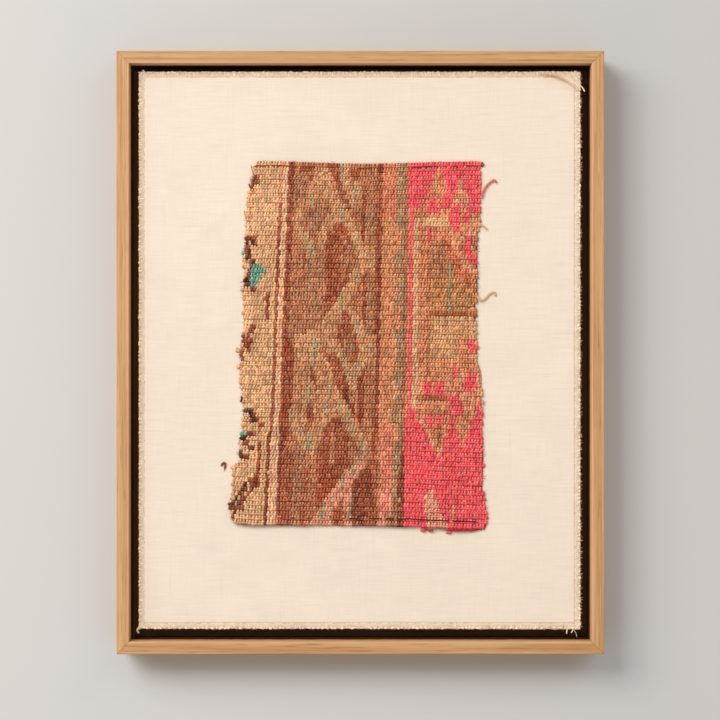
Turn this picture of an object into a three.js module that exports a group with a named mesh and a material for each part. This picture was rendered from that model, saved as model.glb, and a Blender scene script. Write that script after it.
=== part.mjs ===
import * as THREE from 'three';
import { mergeVertices } from 'three/addons/utils/BufferGeometryUtils.js';

// A worn woven fragment on plain cloth, floating in an oak frame of L section. Millimetres.
// +X is right, +Z is up, and +Y points to the wall, so the front looks along -Y.
// The origin is the middle of the top rail's back face, where the frame touches the wall.

const opening = { width: 406.4, height: 508 };
const moulding = { face: 11, depth: 38, ledgeReach: 22, ledgeThickness: 6, easedEdge: 0.8 };
const seatGap = 0.3;
const board = { width: 381, height: 482.6, thickness: 19, offCentreX: -0.6, offCentreZ: 2 };
const groundCloth = { width: 390.2, height: 492.5, thickness: 1.2 };
const fragment = { top: -90.4, thickness: 3.4, thinAtEdge: 0.9, columns: 14, rows: 39 };
const yarnSides = 4;

const outerWidth = opening.width + 2 * moulding.face;
const outerHeight = opening.height + 2 * moulding.face;
const centreZ = moulding.face / 2 - outerHeight / 2;
const boardFrontY = -(moulding.ledgeThickness + seatGap + board.thickness);
const clothBackY = boardFrontY - seatGap;
const clothFrontY = clothBackY - groundCloth.thickness;

const oak = new THREE.MeshStandardMaterial({ color: 0xcc9b6c, roughness: 0.55, metalness: 0 });
const panelWood = new THREE.MeshStandardMaterial({ color: 0xb89468, roughness: 0.8, metalness: 0 });
const unbleached = new THREE.MeshStandardMaterial({ color: 0xf2e3cd, roughness: 0.95, metalness: 0 });
const wornWool = new THREE.MeshStandardMaterial({ color: 0xa8623f, roughness: 0.95, metalness: 0 });
const pinkWool = new THREE.MeshStandardMaterial({ color: 0xd94a63, roughness: 0.95, metalness: 0 });
const tanWool = new THREE.MeshStandardMaterial({ color: 0xc99a66, roughness: 0.95, metalness: 0 });
const darkRedWool = new THREE.MeshStandardMaterial({ color: 0x6b2a20, roughness: 0.95, metalness: 0 });

const object = new THREE.Group();

function addPiece(name, geometry, material) {
  const mesh = new THREE.Mesh(geometry, material);
  mesh.name = name;
  object.add(mesh);
  return mesh;
}

// Reads a table with columns `at` and `value`, straight between its rows.
function readTable(table, at) {
  const next = table.findIndex((row) => row.at >= at);
  if (next === 0) return table[0].value;
  if (next < 0) return table[table.length - 1].value;
  const low = table[next - 1];
  const high = table[next];
  return THREE.MathUtils.mapLinear(at, low.at, high.at, low.value, high.value);
}

// Frame: one moulding profile, mitred at both ends of each rail.

function mouldingProfile() {
  const { face, depth, ledgeReach, ledgeThickness, easedEdge } = moulding;
  const profile = new THREE.Shape();
  profile.moveTo(0, 0);
  profile.lineTo(face + ledgeReach, 0);
  profile.lineTo(face + ledgeReach, -ledgeThickness);
  profile.lineTo(face, -ledgeThickness);
  profile.lineTo(face, -depth + easedEdge);
  profile.absarc(face - easedEdge, -depth + easedEdge, easedEdge, 0, -Math.PI / 2, true);
  profile.lineTo(easedEdge, -depth);
  profile.absarc(easedEdge, -depth + easedEdge, easedEdge, -Math.PI / 2, -Math.PI, true);
  return profile;
}

function mitredRail(length) {
  const geometry = new THREE.ExtrudeGeometry(mouldingProfile(), {
    depth: length,
    steps: 1,
    bevelEnabled: false,
    curveSegments: 3,
  });
  const cutBack = seatGap / Math.SQRT2;
  const position = geometry.attributes.position;
  for (let i = 0; i < position.count; i += 1) {
    const inward = position.getX(i) + cutBack;
    const fromEnd = position.getZ(i) === 0 ? inward : length - inward;
    position.setZ(i, fromEnd - length / 2);
  }
  return geometry;
}

function addFrame() {
  const halfWidth = outerWidth / 2;
  const halfHeight = outerHeight / 2;
  const rails = [
    { name: 'rail_left', length: outerHeight, turn: 0, x: -halfWidth, z: centreZ },
    { name: 'rail_top', length: outerWidth, turn: Math.PI / 2, x: 0, z: centreZ + halfHeight },
    { name: 'rail_right', length: outerHeight, turn: Math.PI, x: halfWidth, z: centreZ },
    { name: 'rail_bottom', length: outerWidth, turn: -Math.PI / 2, x: 0, z: centreZ - halfHeight },
  ];
  for (const { name, length, turn, x, z } of rails) {
    const rail = addPiece(name, mitredRail(length), oak.clone());
    rail.rotation.y = turn;
    rail.position.set(x, 0, z);
  }
}

function addBoard() {
  const panel = new THREE.BoxGeometry(board.width, board.thickness, board.height);
  const piece = addPiece('mount_board', panel, panelWood);
  const middleY = boardFrontY + board.thickness / 2;
  piece.position.set(board.offCentreX, middleY, centreZ + board.offCentreZ);
}

// Sheets: a box of unit size in a grid of cells, each point moved to its place on the sheet.
// `across` runs from 0 at the left to 1 at the right, and `down` from 0 at the top to 1 at the bottom.

function sheet(columnStops, rowStops, place) {
  const columns = columnStops.length - 1;
  const rows = rowStops.length - 1;
  const grid = new THREE.BoxGeometry(1, 1, 1, columns, 1, rows);
  grid.deleteAttribute('normal');
  grid.deleteAttribute('uv');
  const geometry = mergeVertices(grid);
  const position = geometry.attributes.position;
  for (let i = 0; i < position.count; i += 1) {
    const across = columnStops[Math.round((position.getX(i) + 0.5) * columns)];
    const down = rowStops[Math.round((0.5 - position.getZ(i)) * rows)];
    const isFront = position.getY(i) < 0;
    const point = place(across, down, isFront);
    position.setXYZ(i, point.x, point.y, point.z);
  }
  return geometry;
}

function evenStops(count) {
  return Array.from({ length: count + 1 }, (_, i) => i / count);
}

// Stops along a cloth's side: the given distances from each end, and even steps between.
function clothStops(size, fromStart, evenCount, fromEnd) {
  const first = fromStart[fromStart.length - 1];
  const last = size - fromEnd[fromEnd.length - 1];
  const between = evenStops(evenCount).slice(1, -1).map((share) => first + share * (last - first));
  const ending = fromEnd.map((distance) => size - distance).reverse();
  return [...fromStart, ...between, ...ending].map((distance) => distance / size);
}

// Ground cloth: flat over the board, with a limp margin beyond its edges, a crease across the
// top right corner and a few soft wrinkles. Lift is towards the viewer.

const margin = { dropBack: 0.8, waves: 0.35, waveLength: 46 };
const corner = { acrossReach: 35, downReach: 22, ridgeLift: 1.7, ridgeWidth: 3.6, flapLift: 0.9 };
const wrinkles = [
  { x: -128, z: -142, length: 26, width: 5, degrees: 40, lift: 0.45 },
  { x: -122, z: -137, length: 18, width: 4, degrees: -25, lift: 0.35 },
  { x: -36, z: -75, length: 44, width: 6, degrees: -4, lift: 0.35 },
  { x: 150, z: -40, length: 40, width: 9, degrees: -60, lift: 0.3 },
];

function marginLift(x, z) {
  const beyondX = Math.abs(x - board.offCentreX) - board.width / 2;
  const beyondZ = Math.abs(z - centreZ - board.offCentreZ) - board.height / 2;
  const beyond = Math.max(beyondX, beyondZ, 0);
  const reach = (groundCloth.width - board.width) / 2;
  const along = beyondX > beyondZ ? z : x;
  const wave = Math.sin((along * 2 * Math.PI) / margin.waveLength);
  return (beyond / reach) * (margin.waves * wave - margin.dropBack);
}

function cornerLift(x, z) {
  const fromRight = board.offCentreX + groundCloth.width / 2 - x;
  const fromTop = centreZ + board.offCentreZ + groundCloth.height / 2 - z;
  const round = Math.hypot(fromRight / corner.acrossReach, fromTop / corner.downReach);
  const fromCrease = (round - 1) * corner.downReach;
  const ridge = corner.ridgeLift * Math.exp(-((fromCrease / corner.ridgeWidth) ** 2));
  const flap = fromCrease < 0 ? corner.flapLift * Math.min(1, -fromCrease / corner.ridgeWidth) : 0;
  return Math.max(ridge, flap);
}

function wrinkleLift(x, z) {
  let lift = 0;
  for (const wrinkle of wrinkles) {
    const turn = THREE.MathUtils.degToRad(wrinkle.degrees);
    const along = (x - wrinkle.x) * Math.cos(turn) + (z - wrinkle.z) * Math.sin(turn);
    const aside = (z - wrinkle.z) * Math.cos(turn) - (x - wrinkle.x) * Math.sin(turn);
    lift += wrinkle.lift * Math.exp(-((along / wrinkle.length) ** 2) - (aside / wrinkle.width) ** 2);
  }
  return lift;
}

function addGroundCloth() {
  const overhangX = (groundCloth.width - board.width) / 2;
  const overhangZ = (groundCloth.height - board.height) / 2;
  const left = board.offCentreX - groundCloth.width / 2;
  const top = centreZ + board.offCentreZ + groundCloth.height / 2;
  const columnStops = clothStops(
    groundCloth.width, [0, overhangX, 10], 12, [0, overhangX, 9, 13, 17, 21, 25, 29, 33, 37, 42]);
  const rowStops = clothStops(
    groundCloth.height, [0, overhangZ, 8, 11, 14, 17, 20, 23, 27], 16, [0, overhangZ, 10]);
  const place = (across, down, isFront) => {
    const x = left + across * groundCloth.width;
    const z = top - down * groundCloth.height;
    const lift = marginLift(x, z) + cornerLift(x, z) + wrinkleLift(x, z);
    return { x, y: (isFront ? clothFrontY : clothBackY) - lift, z };
  };
  addPiece('ground_cloth', sheet(columnStops, rowStops, place), unbleached);
}

// Fragment: outline tables in millimetres. `at` is the distance down from the top edge, and
// `value` the edge's X. Along the bottom, `at` is the share of the width and `value` the height.

const leftEdge = [
  { at: 0, value: -91.2 }, { at: 15, value: -95.6 }, { at: 26, value: -98.2 },
  { at: 35, value: -100 }, { at: 57, value: -101.3 }, { at: 68, value: -100.9 },
  { at: 85, value: -103.5 }, { at: 101, value: -101.8 }, { at: 114, value: -104.8 },
  { at: 125, value: -102.6 }, { at: 149, value: -103.5 }, { at: 170, value: -105.7 },
  { at: 198, value: -106.2 }, { at: 215, value: -103.1 }, { at: 243, value: -104.8 },
  { at: 259, value: -108.4 }, { at: 264, value: -106.2 }, { at: 271, value: -113.2 },
  { at: 282, value: -111.5 }, { at: 298, value: -114.1 }, { at: 304, value: -115.4 },
  { at: 317, value: -113.7 }, { at: 322, value: -108.8 },
];
const rightEdge = [
  { at: 0, value: 105.7 }, { at: 35, value: 105.7 }, { at: 52, value: 105 },
  { at: 70, value: 103.8 }, { at: 114, value: 103.8 }, { at: 120, value: 101.9 },
  { at: 136, value: 101.9 }, { at: 171, value: 103.8 }, { at: 178, value: 103.2 },
  { at: 204, value: 106.9 }, { at: 211, value: 106.3 }, { at: 220, value: 108.1 },
  { at: 247, value: 108.1 }, { at: 261, value: 109.2 }, { at: 290, value: 108.1 },
  { at: 302, value: 110.6 }, { at: 314, value: 112.4 }, { at: 320, value: 112.4 },
  { at: 325, value: 110.6 },
];
const bottomEdge = [
  { at: 0, value: 318.5 }, { at: 0.03, value: 321.8 }, { at: 0.5, value: 321.3 },
  { at: 0.66, value: 323.1 }, { at: 0.74, value: 322.2 }, { at: 0.77, value: 326.4 },
  { at: 0.8, value: 324 }, { at: 0.88, value: 327 }, { at: 0.95, value: 327 },
  { at: 1, value: 324.9 },
];
const bottomCurl = { reach: 22, lift: 1.8 };
const turnedEdge = { reach: 5, lift: 0.5 };
const slackWaves = { lift: 0.3, across: 2.5, down: 3.5 };

// How far the fragment's back stands off the cloth beyond its seat gap.
function fragmentSlack(across, fromBottom) {
  const curl = bottomCurl.lift * Math.max(0, 1 - fromBottom / bottomCurl.reach) ** 2;
  return curl * (0.55 + 0.45 * Math.sin(across * 3 * Math.PI + 1));
}

function fragmentThickness(across, down, fromTop, fromBottom) {
  const nearSide = Math.min(across, 1 - across) * fragment.columns;
  const thinning = fragment.thinAtEdge * Math.max(0, 1 - nearSide);
  const isTurned = Math.min(fromTop, fromBottom) < turnedEdge.reach;
  const waveAcross = Math.sin(across * slackWaves.across * 2 * Math.PI);
  const waveDown = Math.sin(down * slackWaves.down * 2 * Math.PI);
  const waves = slackWaves.lift * waveAcross * waveDown;
  return fragment.thickness - thinning + (isTurned ? turnedEdge.lift : 0) + waves;
}

function addFragment() {
  const place = (across, down, isFront) => {
    const height = readTable(bottomEdge, across);
    const fromTop = down * height;
    const left = readTable(leftEdge, fromTop);
    const right = readTable(rightEdge, fromTop);
    const backY = clothFrontY - seatGap - fragmentSlack(across, height - fromTop);
    const frontY = backY - fragmentThickness(across, down, fromTop, height - fromTop);
    return { x: left + across * (right - left), y: isFront ? frontY : backY, z: fragment.top - fromTop };
  };
  const geometry = sheet(evenStops(fragment.columns), evenStops(fragment.rows), place);
  addPiece('kilim_fragment', geometry, wornWool);
}

// Loose yarn ends beside the fragment. `lift` is how far the yarn's middle stands off the cloth
// beyond where it would lie.

function addYarn({ name, material, thickness, steps, route }) {
  const radius = thickness / 2;
  const lieY = clothFrontY - seatGap - radius;
  const points = route.map(({ x, z, lift }) => new THREE.Vector3(x, lieY - lift, z));
  const section = new THREE.Shape();
  for (let side = 0; side < yarnSides; side += 1) {
    const turn = ((side + 0.5) * 2 * Math.PI) / yarnSides;
    const [u, v] = [radius * Math.cos(turn), radius * Math.sin(turn)];
    if (side === 0) section.moveTo(u, v);
    else section.lineTo(u, v);
  }
  const extrudePath = new THREE.CatmullRomCurve3(points);
  const geometry = new THREE.ExtrudeGeometry(section, { steps, bevelEnabled: false, extrudePath });
  addPiece(name, geometry, material);
}

const looseYarns = [
  {
    name: 'yarn_pink', material: pinkWool, thickness: 1.8, steps: 10,
    route: [
      { x: 107.2, z: -121.7, lift: 0.9 },
      { x: 109, z: -116.4, lift: 0.8 },
      { x: 112.8, z: -110.9, lift: 0.5 },
      { x: 118, z: -107.2, lift: 0.2 },
      { x: 119.6, z: -108.6, lift: 0.1 },
    ],
  },
  {
    name: 'yarn_tan', material: tanWool, thickness: 1.8, steps: 11,
    route: [
      { x: 103.4, z: -210.6, lift: 1 },
      { x: 106.4, z: -213.5, lift: 0.9 },
      { x: 110.4, z: -211.8, lift: 0.5 },
      { x: 114.5, z: -207.5, lift: 0.3 },
      { x: 118.6, z: -206.3, lift: 0.2 },
      { x: 119.4, z: -209.2, lift: 0.1 },
    ],
  },
  {
    name: 'yarn_tan_short', material: tanWool.clone(), thickness: 1.6, steps: 4,
    route: [
      { x: 106, z: -146.4, lift: 0.8 },
      { x: 108.4, z: -147.6, lift: 0.5 },
      { x: 111, z: -149.9, lift: 0.1 },
    ],
  },
  {
    name: 'yarn_dark_red', material: darkRedWool, thickness: 2.2, steps: 5,
    route: [
      { x: -122.9, z: -359.4, lift: 0 },
      { x: -120.4, z: -357.6, lift: 0.5 },
      { x: -119.8, z: -362.2, lift: 0 },
    ],
  },
];

addFrame();
addBoard();
addGroundCloth();
addFragment();
looseYarns.forEach(addYarn);

export default object;
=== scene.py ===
import math
import random
import bmesh
import bpy
import numpy as np
from mathutils import Matrix, Vector, noise


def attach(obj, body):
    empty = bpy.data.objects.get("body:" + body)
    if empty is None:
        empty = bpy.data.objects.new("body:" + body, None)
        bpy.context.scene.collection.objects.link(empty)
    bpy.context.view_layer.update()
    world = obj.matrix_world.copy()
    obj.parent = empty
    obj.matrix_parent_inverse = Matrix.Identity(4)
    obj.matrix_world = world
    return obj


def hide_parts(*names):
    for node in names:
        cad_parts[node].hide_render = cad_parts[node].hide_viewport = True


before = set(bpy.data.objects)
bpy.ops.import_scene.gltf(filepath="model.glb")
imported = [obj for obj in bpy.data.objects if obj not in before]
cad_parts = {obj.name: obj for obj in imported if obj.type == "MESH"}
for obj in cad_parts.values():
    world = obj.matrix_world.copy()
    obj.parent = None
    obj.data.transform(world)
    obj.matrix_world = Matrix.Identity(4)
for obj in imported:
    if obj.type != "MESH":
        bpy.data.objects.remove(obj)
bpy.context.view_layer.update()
scene = bpy.context.scene
scene.view_settings.view_transform = "Standard"
mm = 0.001


def linkObject(name, data):
    made = bpy.data.objects.new(name, data)
    scene.collection.objects.link(made)
    return made


def finishMesh(form, name):
    mesh = bpy.data.meshes.new(name)
    form.to_mesh(mesh)
    form.free()
    return mesh


# Camera: straight on, a little under the frame's middle
cameraSetup = {"x": -0.26 * mm, "z": -266.1 * mm, "frontY": -38 * mm, "distance": 1.5, "lens": 85.42}


def makeCamera():
    data = bpy.data.cameras.new("camera")
    data.lens = cameraSetup["lens"]
    camera = linkObject("camera", data)
    camera.location = (cameraSetup["x"], cameraSetup["frontY"] - cameraSetup["distance"], cameraSetup["z"])
    camera.rotation_euler = (math.pi / 2, 0, 0)
    scene.camera = camera


makeCamera()
print("camera placed")


# Small helpers for numbers and colours
def linear(channel):
    share = channel / 255
    return share / 12.92 if share <= 0.04045 else ((share + 0.055) / 1.055) ** 2.4


def tone(red, green, blue):  # a screen colour from 0 to 255, as a shader's colour
    return (linear(red), linear(green), linear(blue), 1.0)


def blendBetween(low, high, share):
    return low + (high - low) * share


def dimmed(colour, share):  # the same colour, darker or lighter
    return [channel * share for channel in colour[:3]] + [1]


def clamped(value, low=0.0, high=1.0):
    return max(low, min(high, value))


def jitter(reach):
    return random.uniform(-reach, reach)


def noiseAt(x, y, z):  # smooth noise from -1 to 1
    return noise.noise(Vector((x, y, z)))


def bell(offset, width):  # one in the middle, and near nothing beyond twice the width
    return math.exp(-((offset / width) ** 2))


def readTable(table, at):  # straight lines between rows of (at, value)
    if at <= table[0][0]:
        return table[0][1]
    for low, high in zip(table, table[1:]):
        if at <= high[0]:
            return blendBetween(low[1], high[1], (at - low[0]) / (high[0] - low[0]))
    return table[-1][1]


# Node helpers: a value is a number, a colour or another node's output
def put(tree, target, value):
    if isinstance(value, bpy.types.NodeSocket):
        tree.links.new(value, target)
    else:
        target.default_value = value


def calc(tree, operation, first, second=None):
    node = tree.nodes.new("ShaderNodeMath")
    node.operation = operation
    put(tree, node.inputs[0], first)
    if second is not None:
        put(tree, node.inputs[1], second)
    return node.outputs[0]


def plus(tree, first, second):
    return calc(tree, "ADD", first, second)


def minus(tree, first, second):
    return calc(tree, "SUBTRACT", first, second)


def times(tree, first, second):
    return calc(tree, "MULTIPLY", first, second)


def remap(tree, value, fromLow, fromHigh, toLow=0.0, toHigh=1.0):
    node = tree.nodes.new("ShaderNodeMapRange")
    node.interpolation_type = "SMOOTHSTEP"
    labels = ("Value", "From Min", "From Max", "To Min", "To Max")
    for label, given in zip(labels, (value, fromLow, fromHigh, toLow, toHigh)):
        put(tree, node.inputs[label], given)
    return node.outputs["Result"]


def mixed(tree, share, first, second, blend="MIX"):
    node = tree.nodes.new("ShaderNodeMix")
    node.data_type = "RGBA"
    node.blend_type = blend
    for index, value in ((0, share), (6, first), (7, second)):  # factor, A and B of the colour kind
        put(tree, node.inputs[index], value)
    return node.outputs[2]


def tinted(tree, colour, light):  # a colour times another colour or a plain number
    return mixed(tree, 1.0, colour, light, "MULTIPLY")


def grey(tree, value):  # the same number in all three channels
    node = tree.nodes.new("ShaderNodeCombineColor")
    for index in range(3):
        put(tree, node.inputs[index], value)
    return node.outputs[0]


def placed(tree, vector, scale=(1, 1, 1), move=(0, 0, 0), turn=(0, 0, 0)):
    node = tree.nodes.new("ShaderNodeMapping")
    put(tree, node.inputs["Vector"], vector)
    node.inputs["Scale"].default_value = scale
    node.inputs["Location"].default_value = move
    node.inputs["Rotation"].default_value = turn
    return node.outputs["Vector"]


def cloudy(tree, vector, scale, detail=2.0, roughness=0.5, distortion=0.0):
    node = tree.nodes.new("ShaderNodeTexNoise")
    put(tree, node.inputs["Vector"], vector)
    settings = {"Scale": scale, "Detail": detail, "Roughness": roughness, "Distortion": distortion}
    for label, value in settings.items():
        node.inputs[label].default_value = value
    return node.outputs["Fac"]


def ribs(tree, vector, direction, pitch, distortion):
    node = tree.nodes.new("ShaderNodeTexWave")
    node.bands_direction = direction
    put(tree, node.inputs["Vector"], vector)
    settings = {"Scale": math.pi / 10 / pitch, "Distortion": distortion, "Detail": 1.0, "Detail Scale": 2.0}
    for label, value in settings.items():
        node.inputs[label].default_value = value
    return node.outputs["Fac"]


def bumped(tree, height, strength, distance):
    node = tree.nodes.new("ShaderNodeBump")
    put(tree, node.inputs["Height"], height)
    node.inputs["Strength"].default_value = strength
    node.inputs["Distance"].default_value = distance
    return node.outputs["Normal"]


def objectPoint(tree):
    return tree.nodes.new("ShaderNodeTexCoord").outputs["Object"]


def attributeColour(tree):
    node = tree.nodes.new("ShaderNodeAttribute")
    node.attribute_name = "colourAndPaintedLight"
    return node.outputs["Color"]


def axesOf(tree, vector):
    node = tree.nodes.new("ShaderNodeSeparateXYZ")
    put(tree, node.inputs[0], vector)
    return node.outputs


def startGroup(name, inputs, outputs):
    group = bpy.data.node_groups.new(name, "ShaderNodeTree")
    for label, kind, value in inputs:
        socket = group.interface.new_socket(label, in_out="INPUT", socket_type=kind)
        if value is not None:
            socket.default_value = value
    for label, kind in outputs:
        group.interface.new_socket(label, in_out="OUTPUT", socket_type=kind)
    entry = group.nodes.new("NodeGroupInput")
    leave = group.nodes.new("NodeGroupOutput")
    return group, entry.outputs, leave.inputs


def useGroup(tree, group, **values):
    node = tree.nodes.new("ShaderNodeGroup")
    node.node_tree = group
    for label, value in values.items():
        put(tree, node.inputs[label], value)
    return node.outputs


def startMaterial(name, roughness=0.8, sheen=0.0, specular=0.5):
    material = bpy.data.materials.new(name)
    material.use_nodes = True
    tree = material.node_tree
    shader = tree.nodes["Principled BSDF"]
    shader.inputs["Roughness"].default_value = roughness
    shader.inputs["Sheen Weight"].default_value = sheen
    shader.inputs["Specular IOR Level"].default_value = specular
    return material, tree, shader.inputs


# Oak, shared by the rails and the board: the grain runs along the incoming X
def makeGrainGroup():
    group, entry, leave = startGroup(
        "woodGrain",
        [("Point", "NodeSocketVector", None), ("Pale", "NodeSocketColor", (1, 1, 1, 1)),
         ("Deep", "NodeSocketColor", (0, 0, 0, 1)), ("Pores", "NodeSocketFloat", 0.5)],
        [("Colour", "NodeSocketColor"), ("Roughness", "NodeSocketFloat"), ("Height", "NodeSocketFloat")],
    )
    point = entry["Point"]
    broad = cloudy(group, placed(group, point, (2.5, 90, 90)), 1.0, 3, 0.55, 0.4)
    streaks = cloudy(group, placed(group, point, (11, 640, 640)), 1.0, 3, 0.6, 0.2)
    pores = cloudy(group, placed(group, point, (34, 1150, 1150)), 1.0, 2, 0.55, 0.1)
    poreMask = remap(group, pores, 0.56, 0.70)
    flecks = cloudy(group, placed(group, point, (60, 260, 900)), 1.0, 1, 0.5)
    fleckMask = remap(group, flecks, 0.66, 0.76, 0.0, 0.35)
    figure = plus(group, times(group, broad, 0.5), times(group, streaks, 0.5))
    share = remap(group, figure, 0.34, 0.66)
    wood = mixed(group, share, entry["Deep"], entry["Pale"])
    wood = mixed(group, fleckMask, wood, entry["Pale"])
    poreShare = times(group, poreMask, entry["Pores"])
    wood = mixed(group, poreShare, wood, mixed(group, 0.6, entry["Deep"], (0.05, 0.02, 0.01, 1)))
    put(group, leave["Colour"], wood)
    put(group, leave["Roughness"], remap(group, streaks, 0.3, 0.7, 0.62, 0.48))
    put(group, leave["Height"], minus(group, times(group, streaks, 0.5), poreMask))
    return group


oakLook = {
    "pale": tone(223, 173, 120), "deep": tone(190, 137, 86), "pores": 0.5,
    # a painted highlight along the inner arris: its tone, how strong it is and its band
    "arrisHighlight": tone(222, 176, 134), "arrisHighlightShare": 0.5, "arrisHighlightBand": (-1.6 * mm, -0.7 * mm),
    "stain": tone(94, 54, 12), "stainWorn": tone(116, 72, 24), "stainWander": 3 * mm,
    "stainFromFront": 11 * mm, "stainFeather": 2.2 * mm, "stainBack": (-1.2 * mm, -0.6 * mm),
    "halfOpening": (203.2 * mm, 254 * mm), "lip": 0.4 * mm, "middleZ": -259.5 * mm, "depth": 38 * mm,
}
rails = {  # material, upright or not, shift along the grain, and two painted shades for the light each side gets: how light its oak is and how light the stain in its channel is
    "rail_top": ("oakTop", False, 0.31, 0.87, 0.5), "rail_bottom": ("oakBottom", False, 0.83, 0.955, 0.7),
    "rail_left": ("oakLeft", True, 0.57, 0.945, 1.5), "rail_right": ("oakRight", True, 0.12, 0.97, 0.95),
}


def makeOak(name, upright, shift, warmth, stainShade):
    material, tree, shader = startMaterial(name, 0.55, 0.0, 0.35)
    here = objectPoint(tree)
    turn = (0, math.pi / 2, 0) if upright else (0, 0, 0)
    along = placed(tree, here, (1, 1, 1), (shift, shift * 0.7, shift * 1.3), turn)
    # painted shade: each rail's oak and the stain in its channel are made darker or lighter by that rail's own factors
    pale, deep, stain, worn = (dimmed(oakLook[key], share) for key, share in (
        ("pale", warmth), ("deep", warmth), ("stain", stainShade), ("stainWorn", stainShade)))
    grain = useGroup(tree, grainGroup, Point=along, Pale=pale, Deep=deep, Pores=oakLook["pores"])
    x, y, z = axesOf(tree, here)
    halfX, halfZ = oakLook["halfOpening"]
    # Inside the channel: within the opening, behind the natural lip and in front of the back face
    edgeX = minus(tree, halfX + oakLook["lip"], calc(tree, "ABSOLUTE", x))
    edgeZ = minus(tree, halfZ + oakLook["lip"], calc(tree, "ABSOLUTE", minus(tree, z, oakLook["middleZ"])))
    inwards = calc(tree, "MINIMUM", edgeX, edgeZ)
    within = remap(tree, inwards, 0.0, 0.2 * mm)
    # painted highlight: a lighter band along the face's inner arris, where light catches the eased edge
    arrisHighlight = times(tree, remap(tree, inwards, *oakLook["arrisHighlightBand"]), oakLook["arrisHighlightShare"])
    face = mixed(tree, arrisHighlight, grain["Colour"], oakLook["arrisHighlight"])
    wander = times(tree, minus(tree, cloudy(tree, here, 120, 2), 0.5), oakLook["stainWander"])
    stainStart = -oakLook["depth"] + oakLook["stainFromFront"]
    behindLip = remap(tree, plus(tree, y, wander), stainStart, stainStart + oakLook["stainFeather"])
    beforeBack = remap(tree, y, *oakLook["stainBack"], 1.0, 0.0)
    stained = times(tree, times(tree, within, behindLip), beforeBack)
    patchy = remap(tree, cloudy(tree, placed(tree, along, (4, 160, 160)), 1.0, 3), 0.4, 0.75)
    put(tree, shader["Base Color"], mixed(tree, stained, face, mixed(tree, patchy, stain, worn)))
    put(tree, shader["Roughness"], grain["Roughness"])
    put(tree, shader["Normal"], bumped(tree, grain["Height"], 0.25, 0.15 * mm))
    return material


panelLook = {"pale": tone(206, 178, 138), "deep": tone(180, 148, 106), "pores": 0.15}


def makePanelWood():
    material, tree, shader = startMaterial("panelWood", 0.7, 0.0, 0.3)
    along = placed(tree, objectPoint(tree), (0.7, 0.35, 0.35), (0.4, 0.1, 0.2), (0, math.pi / 2, 0))
    pale, deep, pores = (panelLook[key] for key in ("pale", "deep", "pores"))
    grain = useGroup(tree, grainGroup, Point=along, Pale=pale, Deep=deep, Pores=pores)
    put(tree, shader["Base Color"], grain["Colour"])
    put(tree, shader["Roughness"], plus(tree, grain["Roughness"], 0.15))
    put(tree, shader["Normal"], bumped(tree, grain["Height"], 0.2, 0.1 * mm))
    return material


grainGroup = makeGrainGroup()


def dressCadNode(name, material):
    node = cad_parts[name]
    node.data.materials.clear()
    node.data.materials.append(material)


# Thin keys that fill the mitre joints, a little below the faces, and stained ones behind them in the ledge
mitreKeys = [
    {"name": "mitreKeys", "start": 0.6 * mm, "long": 9.8 * mm, "front": 37.9 * mm, "tone": tone(158, 112, 72)},
    {"name": "ledgeKeys", "start": -10.6 * mm, "long": 10.4 * mm, "front": 5.9 * mm, "tone": oakLook["stain"]},
]
keySize = {"wide": 0.28 * mm, "back": 0.4 * mm}


def makeMitreKeys(setup):
    keys = bmesh.new()
    halfX, halfZ = oakLook["halfOpening"]
    outwards = setup["start"] + setup["long"] / 2
    size = (setup["long"] * math.sqrt(2), setup["front"] - keySize["back"], keySize["wide"])
    middleY = -(setup["front"] + keySize["back"]) / 2
    for sideX in (-1, 1):
        for sideZ in (-1, 1):
            made = bmesh.ops.create_cube(keys, size=1)["verts"]
            turn = Matrix.Rotation(-sideX * sideZ * math.pi / 4, 3, "Y")
            middle = (sideX * (halfX + outwards), middleY, oakLook["middleZ"] + sideZ * (halfZ + outwards))
            bmesh.ops.scale(keys, verts=made, vec=size)
            bmesh.ops.rotate(keys, verts=made, cent=(0, 0, 0), matrix=turn)
            bmesh.ops.translate(keys, verts=made, vec=middle)
    material, tree, shader = startMaterial(setup["name"], 0.7, 0.0, 0.3)
    streak = remap(tree, cloudy(tree, objectPoint(tree), 900, 2), 0.3, 0.8, 0.85, 1.15)
    put(tree, shader["Base Color"], tinted(tree, setup["tone"], streak))
    piece = linkObject(setup["name"], finishMesh(keys, setup["name"]))
    piece.data.materials.append(material)
    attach(piece, "root")


for setup in mitreKeys:
    makeMitreKeys(setup)
for node, look in rails.items():
    dressCadNode(node, makeOak(*look))
dressCadNode("mount_board", makePanelWood())
print("frame dressed")


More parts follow.
